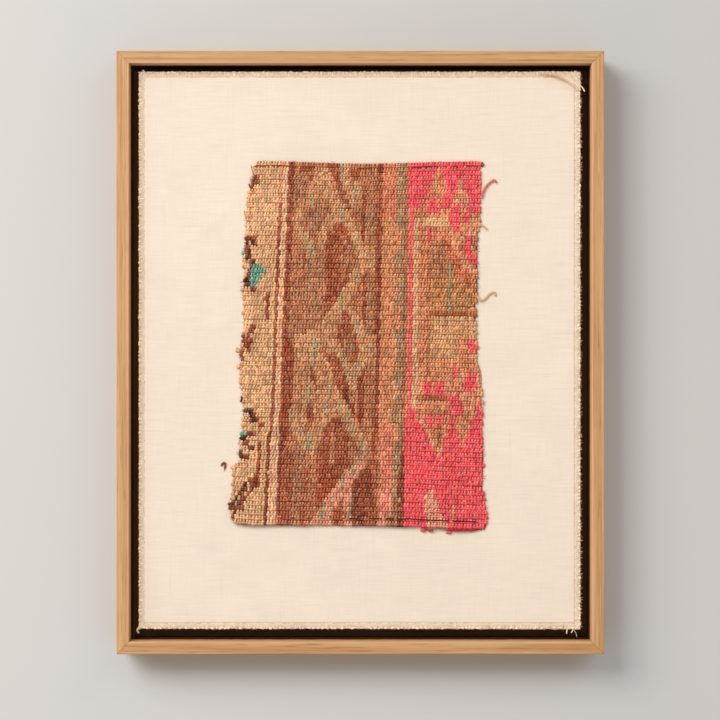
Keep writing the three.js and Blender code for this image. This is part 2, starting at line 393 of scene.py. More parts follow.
# Cloth weave, shared by the ground cloth and its threads
def makeWeaveGroup():
    group, entry, leave = startGroup(
        "plainWeave",
        [("Point", "NodeSocketVector", None), ("Colour", "NodeSocketColor", (1, 1, 1, 1)),
         ("Slubs", "NodeSocketFloat", 0.5)],
        [("Colour", "NodeSocketColor"), ("Height", "NodeSocketFloat")],
    )
    point = entry["Point"]
    weft = ribs(group, point, "Z", 0.8 * mm, 0.6)
    warp = ribs(group, point, "X", 0.7 * mm, 0.5)
    threads = plus(group, times(group, weft, 0.6), times(group, warp, 0.4))
    slubs = cloudy(group, placed(group, point, (24, 24, 900)), 1.0, 2, 0.6)
    slubMask = remap(group, slubs, 0.56, 0.78)
    upright = cloudy(group, placed(group, point, (700, 30, 16)), 1.0, 2, 0.6)
    uprightMask = remap(group, upright, 0.58, 0.8)
    mottle = cloudy(group, point, 26, 3, 0.55)
    streaks = cloudy(group, placed(group, point, (36, 36, 760)), 1.0, 3, 0.7)
    upStreaks = cloudy(group, placed(group, point, (820, 36, 48)), 1.0, 3, 0.7)
    shade = 0.783
    for layer, share in ((mottle, 0.1), (threads, 0.04), (streaks, 0.19), (upStreaks, 0.13)):
        shade = plus(group, shade, times(group, layer, share))
    slubShare = times(group, plus(group, slubMask, uprightMask), entry["Slubs"])
    shade = minus(group, shade, times(group, slubShare, 0.07))
    put(group, leave["Colour"], tinted(group, entry["Colour"], grey(group, shade)))
    put(group, leave["Height"], plus(group, threads, times(group, slubShare, 0.8)))
    return group


clothTones = {"cloth": tone(241, 223, 202), "thread": tone(252, 230, 202)}


def makeCloth():
    material, tree, shader = startMaterial("unbleachedCloth", 0.92, 0.15, 0.2)
    soft = tinted(tree, clothTones["cloth"], attributeColour(tree))
    weave = useGroup(tree, weaveGroup, Point=objectPoint(tree), Colour=soft, Slubs=0.7)
    put(tree, shader["Base Color"], weave["Colour"])
    put(tree, shader["Normal"], bumped(tree, weave["Height"], 0.35, 0.25 * mm))
    return material


def makeClothThread():
    material, tree, shader = startMaterial("clothThread", 0.9, 0.0, 0.15)
    point = placed(tree, objectPoint(tree), (3, 3, 3))
    weave = useGroup(tree, weaveGroup, Point=point, Colour=attributeColour(tree), Slubs=0.3)
    put(tree, shader["Base Color"], weave["Colour"])
    put(tree, shader["Normal"], bumped(tree, weave["Height"], 0.5, 0.1 * mm))
    return material


# Wool: the yarn's colour, with its painted highlights and shade, comes from the mesh, with fibres and dust over it
def makeWoolGroup():
    group, entry, leave = startGroup(
        "woolFibres",
        [("Point", "NodeSocketVector", None), ("Colour", "NodeSocketColor", (1, 1, 1, 1)),
         ("Dust", "NodeSocketFloat", 0.1)],
        [("Colour", "NodeSocketColor"), ("Height", "NodeSocketFloat"), ("Roughness", "NodeSocketFloat")],
    )
    point = entry["Point"]
    fibres = cloudy(group, placed(group, point, (2600, 2600, 520), (0, 0, 0), (0, 0.4, 0)), 1.0, 2, 0.6)
    patches = cloudy(group, point, 90, 3, 0.6)
    dust = times(group, remap(group, patches, 0.5, 0.8), entry["Dust"])
    light = remap(group, fibres, 0.3, 0.75, 0.8, 1.15)
    strand = tinted(group, entry["Colour"], grey(group, light))
    put(group, leave["Colour"], mixed(group, dust, strand, tone(205, 180, 150)))
    put(group, leave["Height"], fibres)
    put(group, leave["Roughness"], remap(group, fibres, 0.3, 0.8, 0.85, 0.6))
    return group


def makeWool(name, dust):
    material, tree, shader = startMaterial(name, 0.85, 0.04, 0.15)
    wool = useGroup(tree, woolGroup, Point=objectPoint(tree), Colour=attributeColour(tree), Dust=dust)
    put(tree, shader["Base Color"], wool["Colour"])
    put(tree, shader["Roughness"], wool["Roughness"])
    put(tree, shader["Normal"], bumped(tree, wool["Height"], 0.5, 0.2 * mm))
    return material


weaveGroup = makeWeaveGroup()
woolGroup = makeWoolGroup()
clothMaterial = makeCloth()
threadMaterial = makeClothThread()
knotMaterial = makeWool("knottedWool", 0.05)
warpMaterial = makeWool("warpWool", 0.2)
yarnMaterial = makeWool("looseWool", 0.05)
print("materials ready")


# Helpers that put a finished mesh into the scene
def addObject(name, mesh, material, node=None):
    piece = linkObject(name, mesh)
    piece.data.materials.append(material)
    for face in mesh.polygons:
        face.use_smooth = True
    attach(piece, "root")
    if node:
        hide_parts(node)
    return piece


def addToFragment(name, mesh, material):
    return addObject(name, mesh, material, "kilim_fragment")


def addToCloth(name, mesh):
    return addObject(name, mesh, threadMaterial)


def paint(mesh, colours):  # one colour a vertex
    layer = mesh.color_attributes.new("colourAndPaintedLight", "FLOAT_COLOR", "POINT")
    full = np.ones((len(mesh.vertices), 4), np.float32)
    full[:, :3] = colours
    layer.data.foreach_set("color", full.ravel())


def gridMesh(name, across, down, place):  # place(u, v) gives a point; u runs right and v runs down
    sheet = bmesh.new()
    bmesh.ops.create_grid(sheet, x_segments=across, y_segments=down, size=0.5)
    for vert in sheet.verts:
        vert.co = place(vert.co.x + 0.5, 0.5 - vert.co.y)
    bmesh.ops.recalc_face_normals(sheet, faces=sheet.faces)
    if sheet.faces[0].normal.y > 0:
        bmesh.ops.reverse_faces(sheet, faces=sheet.faces)
    return finishMesh(sheet, name)


def thicken(piece, thickness):  # the front stays where it is
    solid = piece.modifiers.new("thickness", "SOLIDIFY")
    solid.thickness = thickness
    solid.offset = -1


def strandMesh(name, strands, sides=4, colours=None):  # each strand is (points, radius); it becomes a closed tube
    points, faces = [], []
    for route, radius in strands:
        first, across = len(points), None
        for index, here in enumerate(route):
            ahead = (route[min(index + 1, len(route) - 1)] - route[max(index - 1, 0)]).normalized()
            across = across if across else ahead.orthogonal()
            across = (across - ahead * across.dot(ahead)).normalized()
            other = ahead.cross(across)
            for side in range(sides):
                turn = 2 * math.pi * side / sides
                points.append(here + (across * math.cos(turn) + other * math.sin(turn)) * radius)
        for ring in range(len(route) - 1):
            low = first + ring * sides
            for side in range(sides):
                after = (side + 1) % sides
                faces.append((low + side, low + after, low + sides + after, low + sides + side))
        last = first + (len(route) - 1) * sides
        faces.append(tuple(range(first + sides - 1, first - 1, -1)))
        faces.append(tuple(range(last, last + sides)))
    mesh = bpy.data.meshes.new(name)
    mesh.from_pydata(points, [], faces)
    if colours:
        each = [np.tile(colour, (len(route) * sides, 1)) for (route, _), colour in zip(strands, colours)]
        paint(mesh, np.concatenate(each))
    return mesh


# Small closed lobes of thread or yarn, many of them drawn together into one mesh
# the tone a painted highlight adds, and the tone of the painted shade at the roots
lobe = {"segments": 6, "rings": 5, "highlightTone": (0.23, 0.18, 0.13), "rootShadeTone": (0.85, 0.72, 0.59)}


def makeLobeTemplate():  # one unit tall, wide and deep, its poles up and down
    form = bmesh.new()
    bmesh.ops.create_uvsphere(form, u_segments=lobe["segments"], v_segments=lobe["rings"], radius=1)
    bmesh.ops.rotate(form, verts=form.verts, cent=(0, 0, 0), matrix=Matrix.Rotation(math.pi / 2, 3, "Z"))
    for vert in form.verts:
        vert.co.z = math.copysign(abs(vert.co.z) ** 0.85, vert.co.z)
    bmesh.ops.triangulate(form, faces=form.faces)
    form.verts.index_update()
    corners = np.array([vert.co[:] for vert in form.verts])
    rings = [[vert.index for vert in face.verts] for face in form.faces]
    form.free()
    starts = [ring.index(min(ring)) for ring in rings]
    return corners, np.array(sorted(ring[start:] + ring[:start] for ring, start in zip(rings, starts)))  # a fixed order


def lobeMesh(name, lobes):  # each lobe: at and half sizes in mm, slant and tilt, colour, and how strong its painted highlight is
    corners, faces = lobeTemplate
    count, each = len(lobes), len(corners)
    points = np.zeros((count, each, 3))
    colours = np.zeros((count, each, 3))
    # A painted highlight lightens the upper front of a lobe, and painted shade darkens its root and back
    highlightShare = np.clip(1.6 * corners[:, 2] + 0.35, 0, 1) * np.clip(-1.8 * corners[:, 1] - 0.3, 0, 1)
    rootShadeShare = np.clip(-0.9 * corners[:, 2] + 0.35, 0, 1) * 0.55 + np.clip(corners[:, 1] + 0.5, 0, 1) * 0.45
    for index, one in enumerate(lobes):
        turn = Matrix.Rotation(one["slant"], 3, "Y") @ Matrix.Rotation(one["tilt"], 3, "X")
        points[index] = (corners * np.array(one["half"])) @ np.array(turn).T + np.array(one["at"])
        colour = np.array(one["colour"][:3])
        highlight = np.minimum(colour * 1.1 + np.array(lobe["highlightTone"]), 0.94)
        shaded = colour + (highlight - colour) * (highlightShare * one["highlight"])[:, None]
        root = colour ** 1.2 * np.array(lobe["rootShadeTone"])
        colours[index] = shaded + (root - shaded) * rootShadeShare[:, None]
    mesh = bpy.data.meshes.new(name)
    mesh.vertices.add(count * each)
    mesh.vertices.foreach_set("co", (points * mm).ravel())
    joined = (faces[None] + (np.arange(count) * each)[:, None, None]).reshape(-1, 3)
    mesh.loops.add(joined.size)
    mesh.loops.foreach_set("vertex_index", joined.ravel())
    mesh.polygons.add(len(joined))
    mesh.polygons.foreach_set("loop_start", np.arange(0, joined.size, 3))
    mesh.update(calc_edges=True)
    mesh.validate()
    paint(mesh, colours.reshape(-1, 3))
    return mesh


lobeTemplate = makeLobeTemplate()


# Ground cloth: flat over the board, limp beyond it, creased across the top right corner
clothSize = {
    "width": 390.2 * mm, "height": 492.5 * mm, "middleX": -0.6 * mm, "middleZ": -257.5 * mm,
    "frontY": -26.8 * mm, "thickness": 0.8 * mm, "cellsAcross": 180, "cellsDown": 226, "edgeCrowding": 0.75,
    "boardWidth": 381 * mm, "boardHeight": 482.6 * mm,
}
clothMargin = {
    "dropBack": 0.8 * mm, "waves": 0.35 * mm, "waveLength": 46 * mm, "groove": 0.5 * mm, "grooveWidth": 0.8 * mm,
}
cornerFold = {  # starts beside the top edge and turns down to the right edge
    "startX": 150 * mm, "startZ": -12.0 * mm, "run": 47 * mm, "drop": 17.9 * mm, "power": 2.8,
    "ridge": 1.9 * mm, "inside": 1.5 * mm, "outside": 3.4 * mm, "flap": 0.8 * mm,
}
clothWrinkles = [  # x, z, length, width, degrees, lift, all lengths in mm
    (-128, -142, 26, 5, 40, 0.45), (-122, -137, 18, 4, -25, 0.35), (-36, -75, 44, 6, -4, 0.35),
    (150, -40, 40, 9, -60, 0.3), (-60, -50, 60, 8, 6, 0.2), (-150, -200, 30, 7, 75, 0.2), (60, -470, 60, 9, 4, 0.2),
]


def fromFold(x, z):  # how far outside the fold's line a point is, and how far the fold has risen there
    share = (x - cornerFold["startX"]) / cornerFold["run"]
    if share <= 0:
        return 1.0, 0.0
    line = cornerFold["startZ"] - cornerFold["drop"] * share ** cornerFold["power"]
    slope = cornerFold["drop"] / cornerFold["run"] * cornerFold["power"] * share ** (cornerFold["power"] - 1)
    return (z - line) / math.hypot(1, slope), clamped(share * 3)


def beyondBoard(x, z):
    return (abs(x - clothSize["middleX"]) - clothSize["boardWidth"] / 2,
            abs(z - clothSize["middleZ"]) - clothSize["boardHeight"] / 2)


def clothLift(x, z):
    beyondX, beyondZ = beyondBoard(x, z)
    beyond = max(beyondX, beyondZ)
    reach = (clothSize["width"] - clothSize["boardWidth"]) / 2
    along = z if beyondX > beyondZ else x
    wave = math.sin(along * 2 * math.pi / clothMargin["waveLength"])
    lift = max(beyond, 0) / reach * (clothMargin["waves"] * wave - clothMargin["dropBack"])
    lift -= clothMargin["groove"] * bell(beyond, clothMargin["grooveWidth"])
    offFold, fade = fromFold(x, z)
    ridge = cornerFold["ridge"] * bell(offFold, cornerFold["inside" if offFold < 0 else "outside"])
    flap = cornerFold["flap"] * clamped(offFold / cornerFold["outside"])
    lift += max(ridge, flap) * fade
    for middleX, middleZ, length, width, degrees, height in clothWrinkles:
        angle = math.radians(degrees)
        offX, offZ = x / mm - middleX, z / mm - middleZ
        run = offX * math.cos(angle) + offZ * math.sin(angle)
        aside = offZ * math.cos(angle) - offX * math.sin(angle)
        lift += height * mm * bell(run, length) * bell(aside, width)
    soft = noiseAt(x * 22, 0.3, z * 17) * 0.16 * mm
    return lift + soft


def crowded(share):  # cells stand closer together near both ends
    return share - clothSize["edgeCrowding"] * math.sin(2 * math.pi * share) / (2 * math.pi)


rimRags = {"left": 0.4 * mm, "right": 1.2 * mm, "top": 0.4 * mm, "bottom": 0.72 * mm, "bottomSlope": 1.2 * mm}
# painted shade and light on the cloth: the rim's tone (partly its stitched tone), the creases, the fold's hollow, the
# flap and a gradient across
clothShading = {
    "rimToneAndShade": (0.93, 0.86, 0.78), "creaseShadeTone": (0.68, 0.50, 0.35), "rimReach": 1.6 * mm, "grooveReach": 0.8 * mm,
    "rightShare": 0.6, "bottomShare": 0.75, "hollow": 0.16, "hollowAt": -5 * mm, "hollowReach": 4.5 * mm,
    "crease": 1.25, "creaseAt": -1.5 * mm, "creaseReach": 1.5 * mm, "deepestAt": 0.42, "deepestReach": 0.3,
    "flapFrom": 0.6 * mm, "flapReach": 1.6 * mm, "flapShare": 0.6, "dullest": 0.955, "brightest": 1.03,
}


def clothPoint(u, v):
    x = clothSize["middleX"] + (crowded(u) - 0.5) * clothSize["width"]
    z = clothSize["middleZ"] + (0.5 - crowded(v)) * clothSize["height"]
    lift = clothLift(x, z)
    if u in (0, 1):
        x += noiseAt(u, z * 160, 2.0) * rimRags["right" if u else "left"]
    if v in (0, 1):
        z += noiseAt(x * 160, v, 5.0) * rimRags["bottom" if v else "top"]
    if v == 1:
        z -= rimRags["bottomSlope"] * (x / clothSize["width"])
    return Vector((x, clothSize["frontY"] - lift, z))


def clothShade(x, z):  # painted shade: the rim is a little darker between its threads, most at the top and left, partly its own stitched tone; so are the crease at the board's edge, the hollow and crease inside the fold and the flap beyond it, and painted light makes the cloth lighter from top left to bottom right
    look = clothShading
    beyond = max(beyondBoard(x, z))
    rim = clamped(beyond / look["rimReach"] + 0.5 + 0.9 * noiseAt(x * 260, z * 260, 4))
    speckle = clamped(0.35 + 2.2 * noiseAt(x * 420, z * 420, 0))
    groove = speckle * max(bell(beyond, look["grooveReach"]), 0.4 * rim)
    offFold, fade = fromFold(x, z)
    along = (x - cornerFold["startX"]) / cornerFold["run"]
    depth = 0.3 + 0.7 * bell(along - look["deepestAt"], look["deepestReach"])
    hollow = look["hollow"] * bell(offFold - look["hollowAt"], look["hollowReach"])
    crease = look["crease"] * depth * bell(offFold - look["creaseAt"], look["creaseReach"])
    darkest = clamped(groove * 0.5 + fade * (hollow + crease))
    onFlap = fade * clamped((offFold - look["flapFrom"]) / look["flapReach"]) * look["flapShare"]
    # the rim's painted shade is weaker on the right and at the bottom, away from the light
    if x > clothSize["middleX"] + clothSize["boardWidth"] / 2:
        rim *= look["rightShare"]
    elif z < clothSize["middleZ"] - clothSize["boardHeight"] / 2:
        rim *= look["bottomShare"]
    # painted light: the cloth grows lighter from top left to bottom right
    across = (x - z) / (clothSize["width"] + clothSize["height"]) + 0.22
    paintedLight = blendBetween(look["dullest"], look["brightest"], across)
    return [paintedLight * blendBetween(blendBetween(1, rimToneAndShade, max(rim, onFlap)), creaseShadeTone, darkest)
            for rimToneAndShade, creaseShadeTone in zip(look["rimToneAndShade"], look["creaseShadeTone"])]


def makeGroundCloth():
    mesh = gridMesh("groundCloth", clothSize["cellsAcross"], clothSize["cellsDown"],
                    lambda u, v: clothPoint(round(u, 6), round(v, 6)))
    paint(mesh, np.array([clothShade(vert.co.x, vert.co.z) for vert in mesh.vertices]))
    piece = addObject("groundCloth", mesh, clothMaterial, "ground_cloth")
    thicken(piece, clothSize["thickness"])
    return piece


# Overcast edge: slanted stitches over the raw edge, and the short threads that fray from it
edgeStitch = {"pitch": 1.75 * mm, "reach": 4.4 * mm, "radius": 0.5 * mm, "slant": 1.3 * mm, "wrap": 0.6 * mm}
edgeNubs = [  # half sizes in mm, steps along the rim and how far inside it; the second run is the dotted line
    {"half": (1.0, 0.9, 1.35), "spacing": 3.0 * mm, "inset": 0.6 * mm},
    {"half": (0.42, 0.36, 0.62), "spacing": 2.1 * mm, "inset": 4.9 * mm, "tone": (0.6, 0.42, 0.26)},
]
edgeFray = {  # how many threads fray from each side of the rim, in its order
    "counts": (150, 480, 200, 150), "radius": 0.23 * mm,
    "shortest": 0.6 * mm, "longest": (1.5 * mm, 2.6 * mm, 1.6 * mm, 1.5 * mm),
}


def clothRim():  # the four sides as (start, direction along the side, direction inwards, length)
    halfX, halfZ = clothSize["width"] / 2, clothSize["height"] / 2
    x, z = clothSize["middleX"], clothSize["middleZ"]
    return [
        (Vector((x - halfX, 0, z + halfZ)), Vector((1, 0, 0)), Vector((0, 0, -1)), 2 * halfX),
        (Vector((x + halfX, 0, z + halfZ)), Vector((0, 0, -1)), Vector((-1, 0, 0)), 2 * halfZ),
        (Vector((x + halfX, 0, z - halfZ)), Vector((-1, 0, 0)), Vector((0, 0, 1)), 2 * halfX),
        (Vector((x - halfX, 0, z - halfZ)), Vector((0, 0, 1)), Vector((1, 0, 0)), 2 * halfZ),
    ]


def onCloth(point, above):  # moves a point in X and Z onto the cloth's front, and that far off it
    return Vector((point.x, clothSize["frontY"] - clothLift(point.x, point.z) - above, point.z))


def hair(root, run, bend, shares=(0, 0.5, 1)):  # a short curve that leaves along its run and bends more and more
    return [root + run * share + bend * share * share for share in shares]


def threadShades(strands, darkest, lightest):
    thread = Vector(clothTones["thread"][:3])
    shades = [random.uniform(darkest, lightest) for _ in strands]
    return [Vector((thread.x * share, thread.y * share ** 1.3, thread.z * share ** 1.6)) for share in shades]


def makeEdgeStitches():
    random.seed(21)
    strands = []
    for start, along, inward, length in clothRim():
        for step in range(int(length / edgeStitch["pitch"])):
            root = start + along * (step + 0.5 + jitter(0.25)) * edgeStitch["pitch"]
            radius = edgeStitch["radius"] * random.uniform(0.8, 1.25)
            reach = edgeStitch["reach"] * random.uniform(0.75, 1.08)
            slant = edgeStitch["slant"] * random.uniform(-0.4, 1.8)
            points = []
            for share in (1.0, 0.82, 0.5, 0.25, 0.1):
                arch = radius * (0.2 + 1.1 * math.sin(math.pi * clamped(share * 0.8 + 0.2)))
                points.append(onCloth(root + inward * reach * share + along * slant * share, arch))
            outer = onCloth(root + inward * 0.2 * mm, -0.3 * mm)
            under = onCloth(root + inward * 0.3 * mm - along * slant * 0.3, -edgeStitch["wrap"] - 0.5 * mm)
            strands.append((points + [outer, under], radius))
    mesh = strandMesh("edgeStitches", strands, 4, threadShades(strands, 0.72, 1.1))
    return addToCloth("edgeStitches", mesh)


def makeEdgeNubs():  # the small thread knots along the raw edge, and the dotted line inside the overcasting
    random.seed(23)
    white = Vector(clothTones["thread"][:3])
    nubs = []
    for start, along, inward, length in clothRim():
        upright = abs(along.z) > 0.5
        for nub in edgeNubs:
            dotted = "tone" in nub
            for step in range(int(length / nub["spacing"])):
                root = start + along * (step + 0.5 + jitter(0.35)) * nub["spacing"]
                root += inward * (nub["inset"] + random.uniform(-0.3, 0.25) * mm)
                pastX = abs(root.x - clothSize["middleX"]) - clothSize["width"] / 2
                pastZ = abs(root.z - clothSize["middleZ"]) - clothSize["height"] / 2
                if dotted and max(pastX, pastZ) > 0.2 * mm - nub["inset"]:
                    continue
                size = random.uniform(0.55, 1.3)
                at = onCloth(root, random.uniform(0.4, 0.8) * mm)
                slant = (0.0 if upright else math.pi / 2) + jitter(0.6)
                nubs.append({
                    "at": tuple(at / mm), "half": tuple(value * size for value in nub["half"]),
                    "slant": slant, "tilt": jitter(0.3), "highlight": 0.0,
                    "colour": Vector(nub["tone"]) if dotted else white * random.uniform(1.0, 1.12),
                })
    return addToCloth("edgeNubs", lobeMesh("edgeNubs", nubs))


def makeEdgeFray():
    random.seed(22)
    strands = []
    for side, (start, along, inward, length) in enumerate(clothRim()):
        for _ in range(edgeFray["counts"][side]):
            root = start + along * random.uniform(0.003, 0.997) * length + inward * random.uniform(0.0, 0.8) * mm
            reach = random.uniform(edgeFray["shortest"], edgeFray["longest"][side])
            outward = (along * random.gauss(0, 0.35) - inward).normalized()
            bend = along * jitter(0.3) + Vector((0, jitter(0.5), 0))
            radius = edgeFray["radius"] * random.uniform(0.6, 1.4)
            strands.append((hair(onCloth(root, 0), outward * reach, bend * reach), radius))
    mesh = strandMesh("edgeFray", strands, 3, threadShades(strands, 0.8, 1.06))
    return addToCloth("edgeFray", mesh)


strayThreads = [  # routes in mm as (x, z, above the cloth), then the thickness
    ([(-189.4, -13.2, 0.3), (-190.8, -11.6, 0.8), (-192.4, -9.6, 0.7)], 1.8),
    ([(-192.4, -14.6, 0.3), (-194.4, -12.2, 0.5), (-196.6, -11.4, 0.4)], 1.0),
    ([(189.5, -20.5, 0.9), (193.6, -23.2, 1.0), (196.6, -25.6, 0.8), (198.4, -28.8, 0.4)], 1.25),
    ([(186, -19.5, 1.2), (191.4, -23.6, 1.4), (194.6, -27.4, 0.8)], 0.9),
    ([(-192.4, -498.8, 0.4), (-195.6, -502.4, 0.6), (-197.4, -505, 0.5), (-196.2, -508, 0.3)], 1.7),
    ([(-190.5, -501, 0.3), (-194.6, -503.4, 0.6), (-196.4, -504.6, 0.3)], 1.5),
    ([(184.8, -500.5, 0.3), (183.2, -504, 0.5), (182.6, -508.4, 0.3)], 1.3),
    ([(187.8, -501.5, 0.3), (188, -505, 0.4), (186.8, -507.6, 0.3)], 1.1),
    ([(188, -504.5, 0.3), (190.6, -507.2, 0.2), (191.8, -511.5, 0.1)], 0.45),
    ([(-112.5, -496.5, 0.3), (-110, -497.3, 0.4)], 0.7),
]


def makeStrayThreads():
    strands = []
    for route, thickness in strayThreads:
        points = [onCloth(Vector((x * mm, 0, z * mm)), above * mm) for x, z, above in route]
        strands.append((smoothRoute(points, 5), thickness / 2 * mm))
    mesh = strandMesh("strayThreads", strands, 6, threadShades(strands, 0.9, 1.04))
    return addToCloth("strayThreads", mesh)


def smoothRoute(points, steps):  # a Catmull-Rom curve through the points
    ends = [points[0] * 2 - points[1], *points, points[-1] * 2 - points[-2]]
    curve = []
    for before, start, stop, after in zip(ends, ends[1:], ends[2:], ends[3:]):
        for step in range(steps):
            t = step / steps
            curve.append(0.5 * ((2 * start) + (stop - before) * t + (2 * before - 5 * start + 4 * stop - after) * t * t
                                + (3 * start - before - 3 * stop + after) * t * t * t))
    return curve + [points[-1].copy()]


groundCloth = makeGroundCloth()
onGroundCloth = [makeEdgeStitches(), makeEdgeNubs(), makeEdgeFray(), makeStrayThreads()]
print("ground cloth made")


# Fragment: outline in mm, as (distance down, x), and along the bottom as (share across, height)
fragmentSize = {
    "top": -90.4, "thickness": 3.4, "rows": 78, "gapToCloth": 0.3, "topFrom": -95, "topWide": 200,
    "bottomFrom": -113, "bottomWide": 224, "curl": 1.8, "curlReach": 22, "waves": 0.3, "thinSide": 0.7, "thinReach": 15,
}
fragmentWarp = {"borderTop": -62.9, "borderBottom": -74.4, "pitchTop": 2.524, "pitchBottom": 2.674}
leftEdge = [
    (0, -91.2), (15, -95.6), (26, -98.2), (35, -100), (57, -101.3), (68, -100.9), (85, -103.5), (101, -101.8),
    (114, -104.8), (125, -102.6), (149, -103.5), (170, -105.7), (198, -106.2), (215, -103.1), (243, -104.8),
    (259, -108.4), (264, -106.2), (271, -113.2), (282, -111.5), (298, -114.1), (304, -115.4), (317, -113.7),
    (322, -108.8),
]
rightEdge = [
    (0, 105.7), (35, 105.7), (52, 105), (70, 103.8), (114, 103.8), (120, 101.9), (136, 101.9), (171, 103.8),
    (178, 103.2), (204, 106.9), (211, 106.3), (220, 108.1), (247, 108.1), (261, 109.2), (290, 108.1),
    (302, 110.6), (314, 112.4), (320, 112.4), (325, 110.6),
]
bottomEdge = [
    (0, 318.5), (0.03, 321.8), (0.5, 321.3), (0.66, 323.1), (0.74, 322.2), (0.77, 326.4), (0.8, 324),
    (0.88, 327), (0.95, 327), (1, 324.9),
]
rowsEdge = [(0, 319.8), (0.1, 321.2), (0.7, 322.3), (0.85, 324), (1, 325)]  # how far the rows of knots reach
topDip = [(0, 0), (0.1, 0), (0.22, 0.9), (0.36, 2.0), (0.52, 2.4), (0.66, 1.9), (0.8, 0.9), (0.97, 0.3), (1, 0.3)]


def shareAcross(x):
    return (x - fragmentSize["bottomFrom"]) / fragmentSize["bottomWide"]


def fragmentHeight(x):  # the height from the top edge to the bottom edge at that x
    return readTable(bottomEdge, shareAcross(x))


def rowsHeight(x):  # the height that the rows of knots share out
    return readTable(rowsEdge, shareAcross(x))


def heightOf(x, fromTop):  # a point's Z in mm; the turned top edge dips in its middle, and the rows below even out
    dip = readTable(topDip, (x - fragmentSize["topFrom"]) / fragmentSize["topWide"])
    return fragmentSize["top"] - dip * max(0, 1 - fromTop / 60) - fromTop


def standOff(x, fromTop, height):  # the fragment's front, in mm off the cloth's front
    fromBottom = height - fromTop
    across = (x + 110) / 220
    curl = max(0, 1 - fromBottom / fragmentSize["curlReach"]) ** 2 * (0.55 + 0.45 * math.sin(across * 3 * math.pi + 1))
    waves = math.sin(across * 5 * math.pi) * math.sin(fromTop / height * 7 * math.pi)
    fromSide = min(x - readTable(leftEdge, fromTop), readTable(rightEdge, fromTop) - x)
    thinner = fragmentSize["thinSide"] * max(0, 1 - fromSide / fragmentSize["thinReach"])
    thickness = fragmentSize["thickness"] + fragmentSize["curl"] * curl + fragmentSize["waves"] * waves - thinner
    return fragmentSize["gapToCloth"] + thickness


def frontOf(x, fromTop, height):  # the fragment's front as a Y in mm
    return clothSize["frontY"] / mm - standOff(x, fromTop, height)


def columnX(column, row):  # the middle of a knot, in mm
    share = (row + 0.5) / fragmentSize["rows"]
    start = blendBetween(fragmentWarp["borderTop"], fragmentWarp["borderBottom"], share)
    return start + (column + 0.5) * blendBetween(fragmentWarp["pitchTop"], fragmentWarp["pitchBottom"], share)


def rowAt(fromTop, height):
    return clamped(fromTop / height * fragmentSize["rows"], 0, fragmentSize["rows"] - 1)


def columnAt(x, row):
    pitch = blendBetween(fragmentWarp["pitchTop"], fragmentWarp["pitchBottom"], row / fragmentSize["rows"])
    return math.floor((x - columnX(0, row)) / pitch + 0.5)


# Yarn colours as they show on the worn tips
yarns = {
    "tan": (231, 178, 132), "tanPale": (245, 187, 145), "tanDeep": (231, 152, 113), "gold": (215, 160, 111),
    "vine": (207, 143, 100), "vinePale": (215, 154, 109), "vineRose": (233, 157, 126),
    "salmon": (223, 147, 103), "orange": (224, 135, 98), "rust": (176, 92, 55), "rustDeep": (180, 97, 62),
    "rustDark": (170, 84, 49), "brown": (195, 124, 84), "greyBrown": (185, 124, 87), "brownTan": (218, 140, 99),
    "umber": (148, 68, 41), "soot": (80, 41, 30), "greyGreen": (188, 135, 98), "olive": (188, 116, 78),
    "copper": (211, 117, 75), "green": (180, 157, 118), "sage": (180, 138, 100), "teal": (115, 168, 146),
    "pink": (248, 95, 102), "red": (253, 98, 100), "pinkLoose": (242, 126, 118), "tanLoose": (242, 200, 156),
    "rose": (230, 136, 106), "blush": (240, 150, 126), "maroon": (150, 56, 44), "honey": (207, 141, 90),
}


def yarnColour(name):
    return Vector([linear(channel) for channel in yarns[name]])


# Chart helpers: each gives a test for a knot's middle at (column, row)
def block(left, top, right, bottom):
    return lambda column, row: left <= column < right and top <= row < bottom


def shape(*corners):  # a closed outline given by its corners as (column, row)
    def inside(column, row):
        crossings = 0
        for (fromColumn, fromRow), (toColumn, toRow) in zip(corners, corners[1:] + corners[:1]):
            if (fromRow > row) != (toRow > row):
                crossings += column < blendBetween(fromColumn, toColumn, (row - fromRow) / (toRow - fromRow))
        return crossings % 2 == 1
    return inside


def lens(right, middle, reach, halfHeight):  # a half diamond that points to the left
    return shape((right, middle - halfHeight), (right - reach, middle), (right, middle + halfHeight))


def dots(*places):  # single knots
    return lambda column, row: (math.floor(column), math.floor(row)) in places


def flecked(left, top, right, bottom, share):  # short upright streaks over that share of a block
    def inside(column, row):
        streak = noiseAt(column * 2.7, row * 0.3, 4.4)
        return left <= column < right and top <= row < bottom and streak > 0.55 - share
    return inside


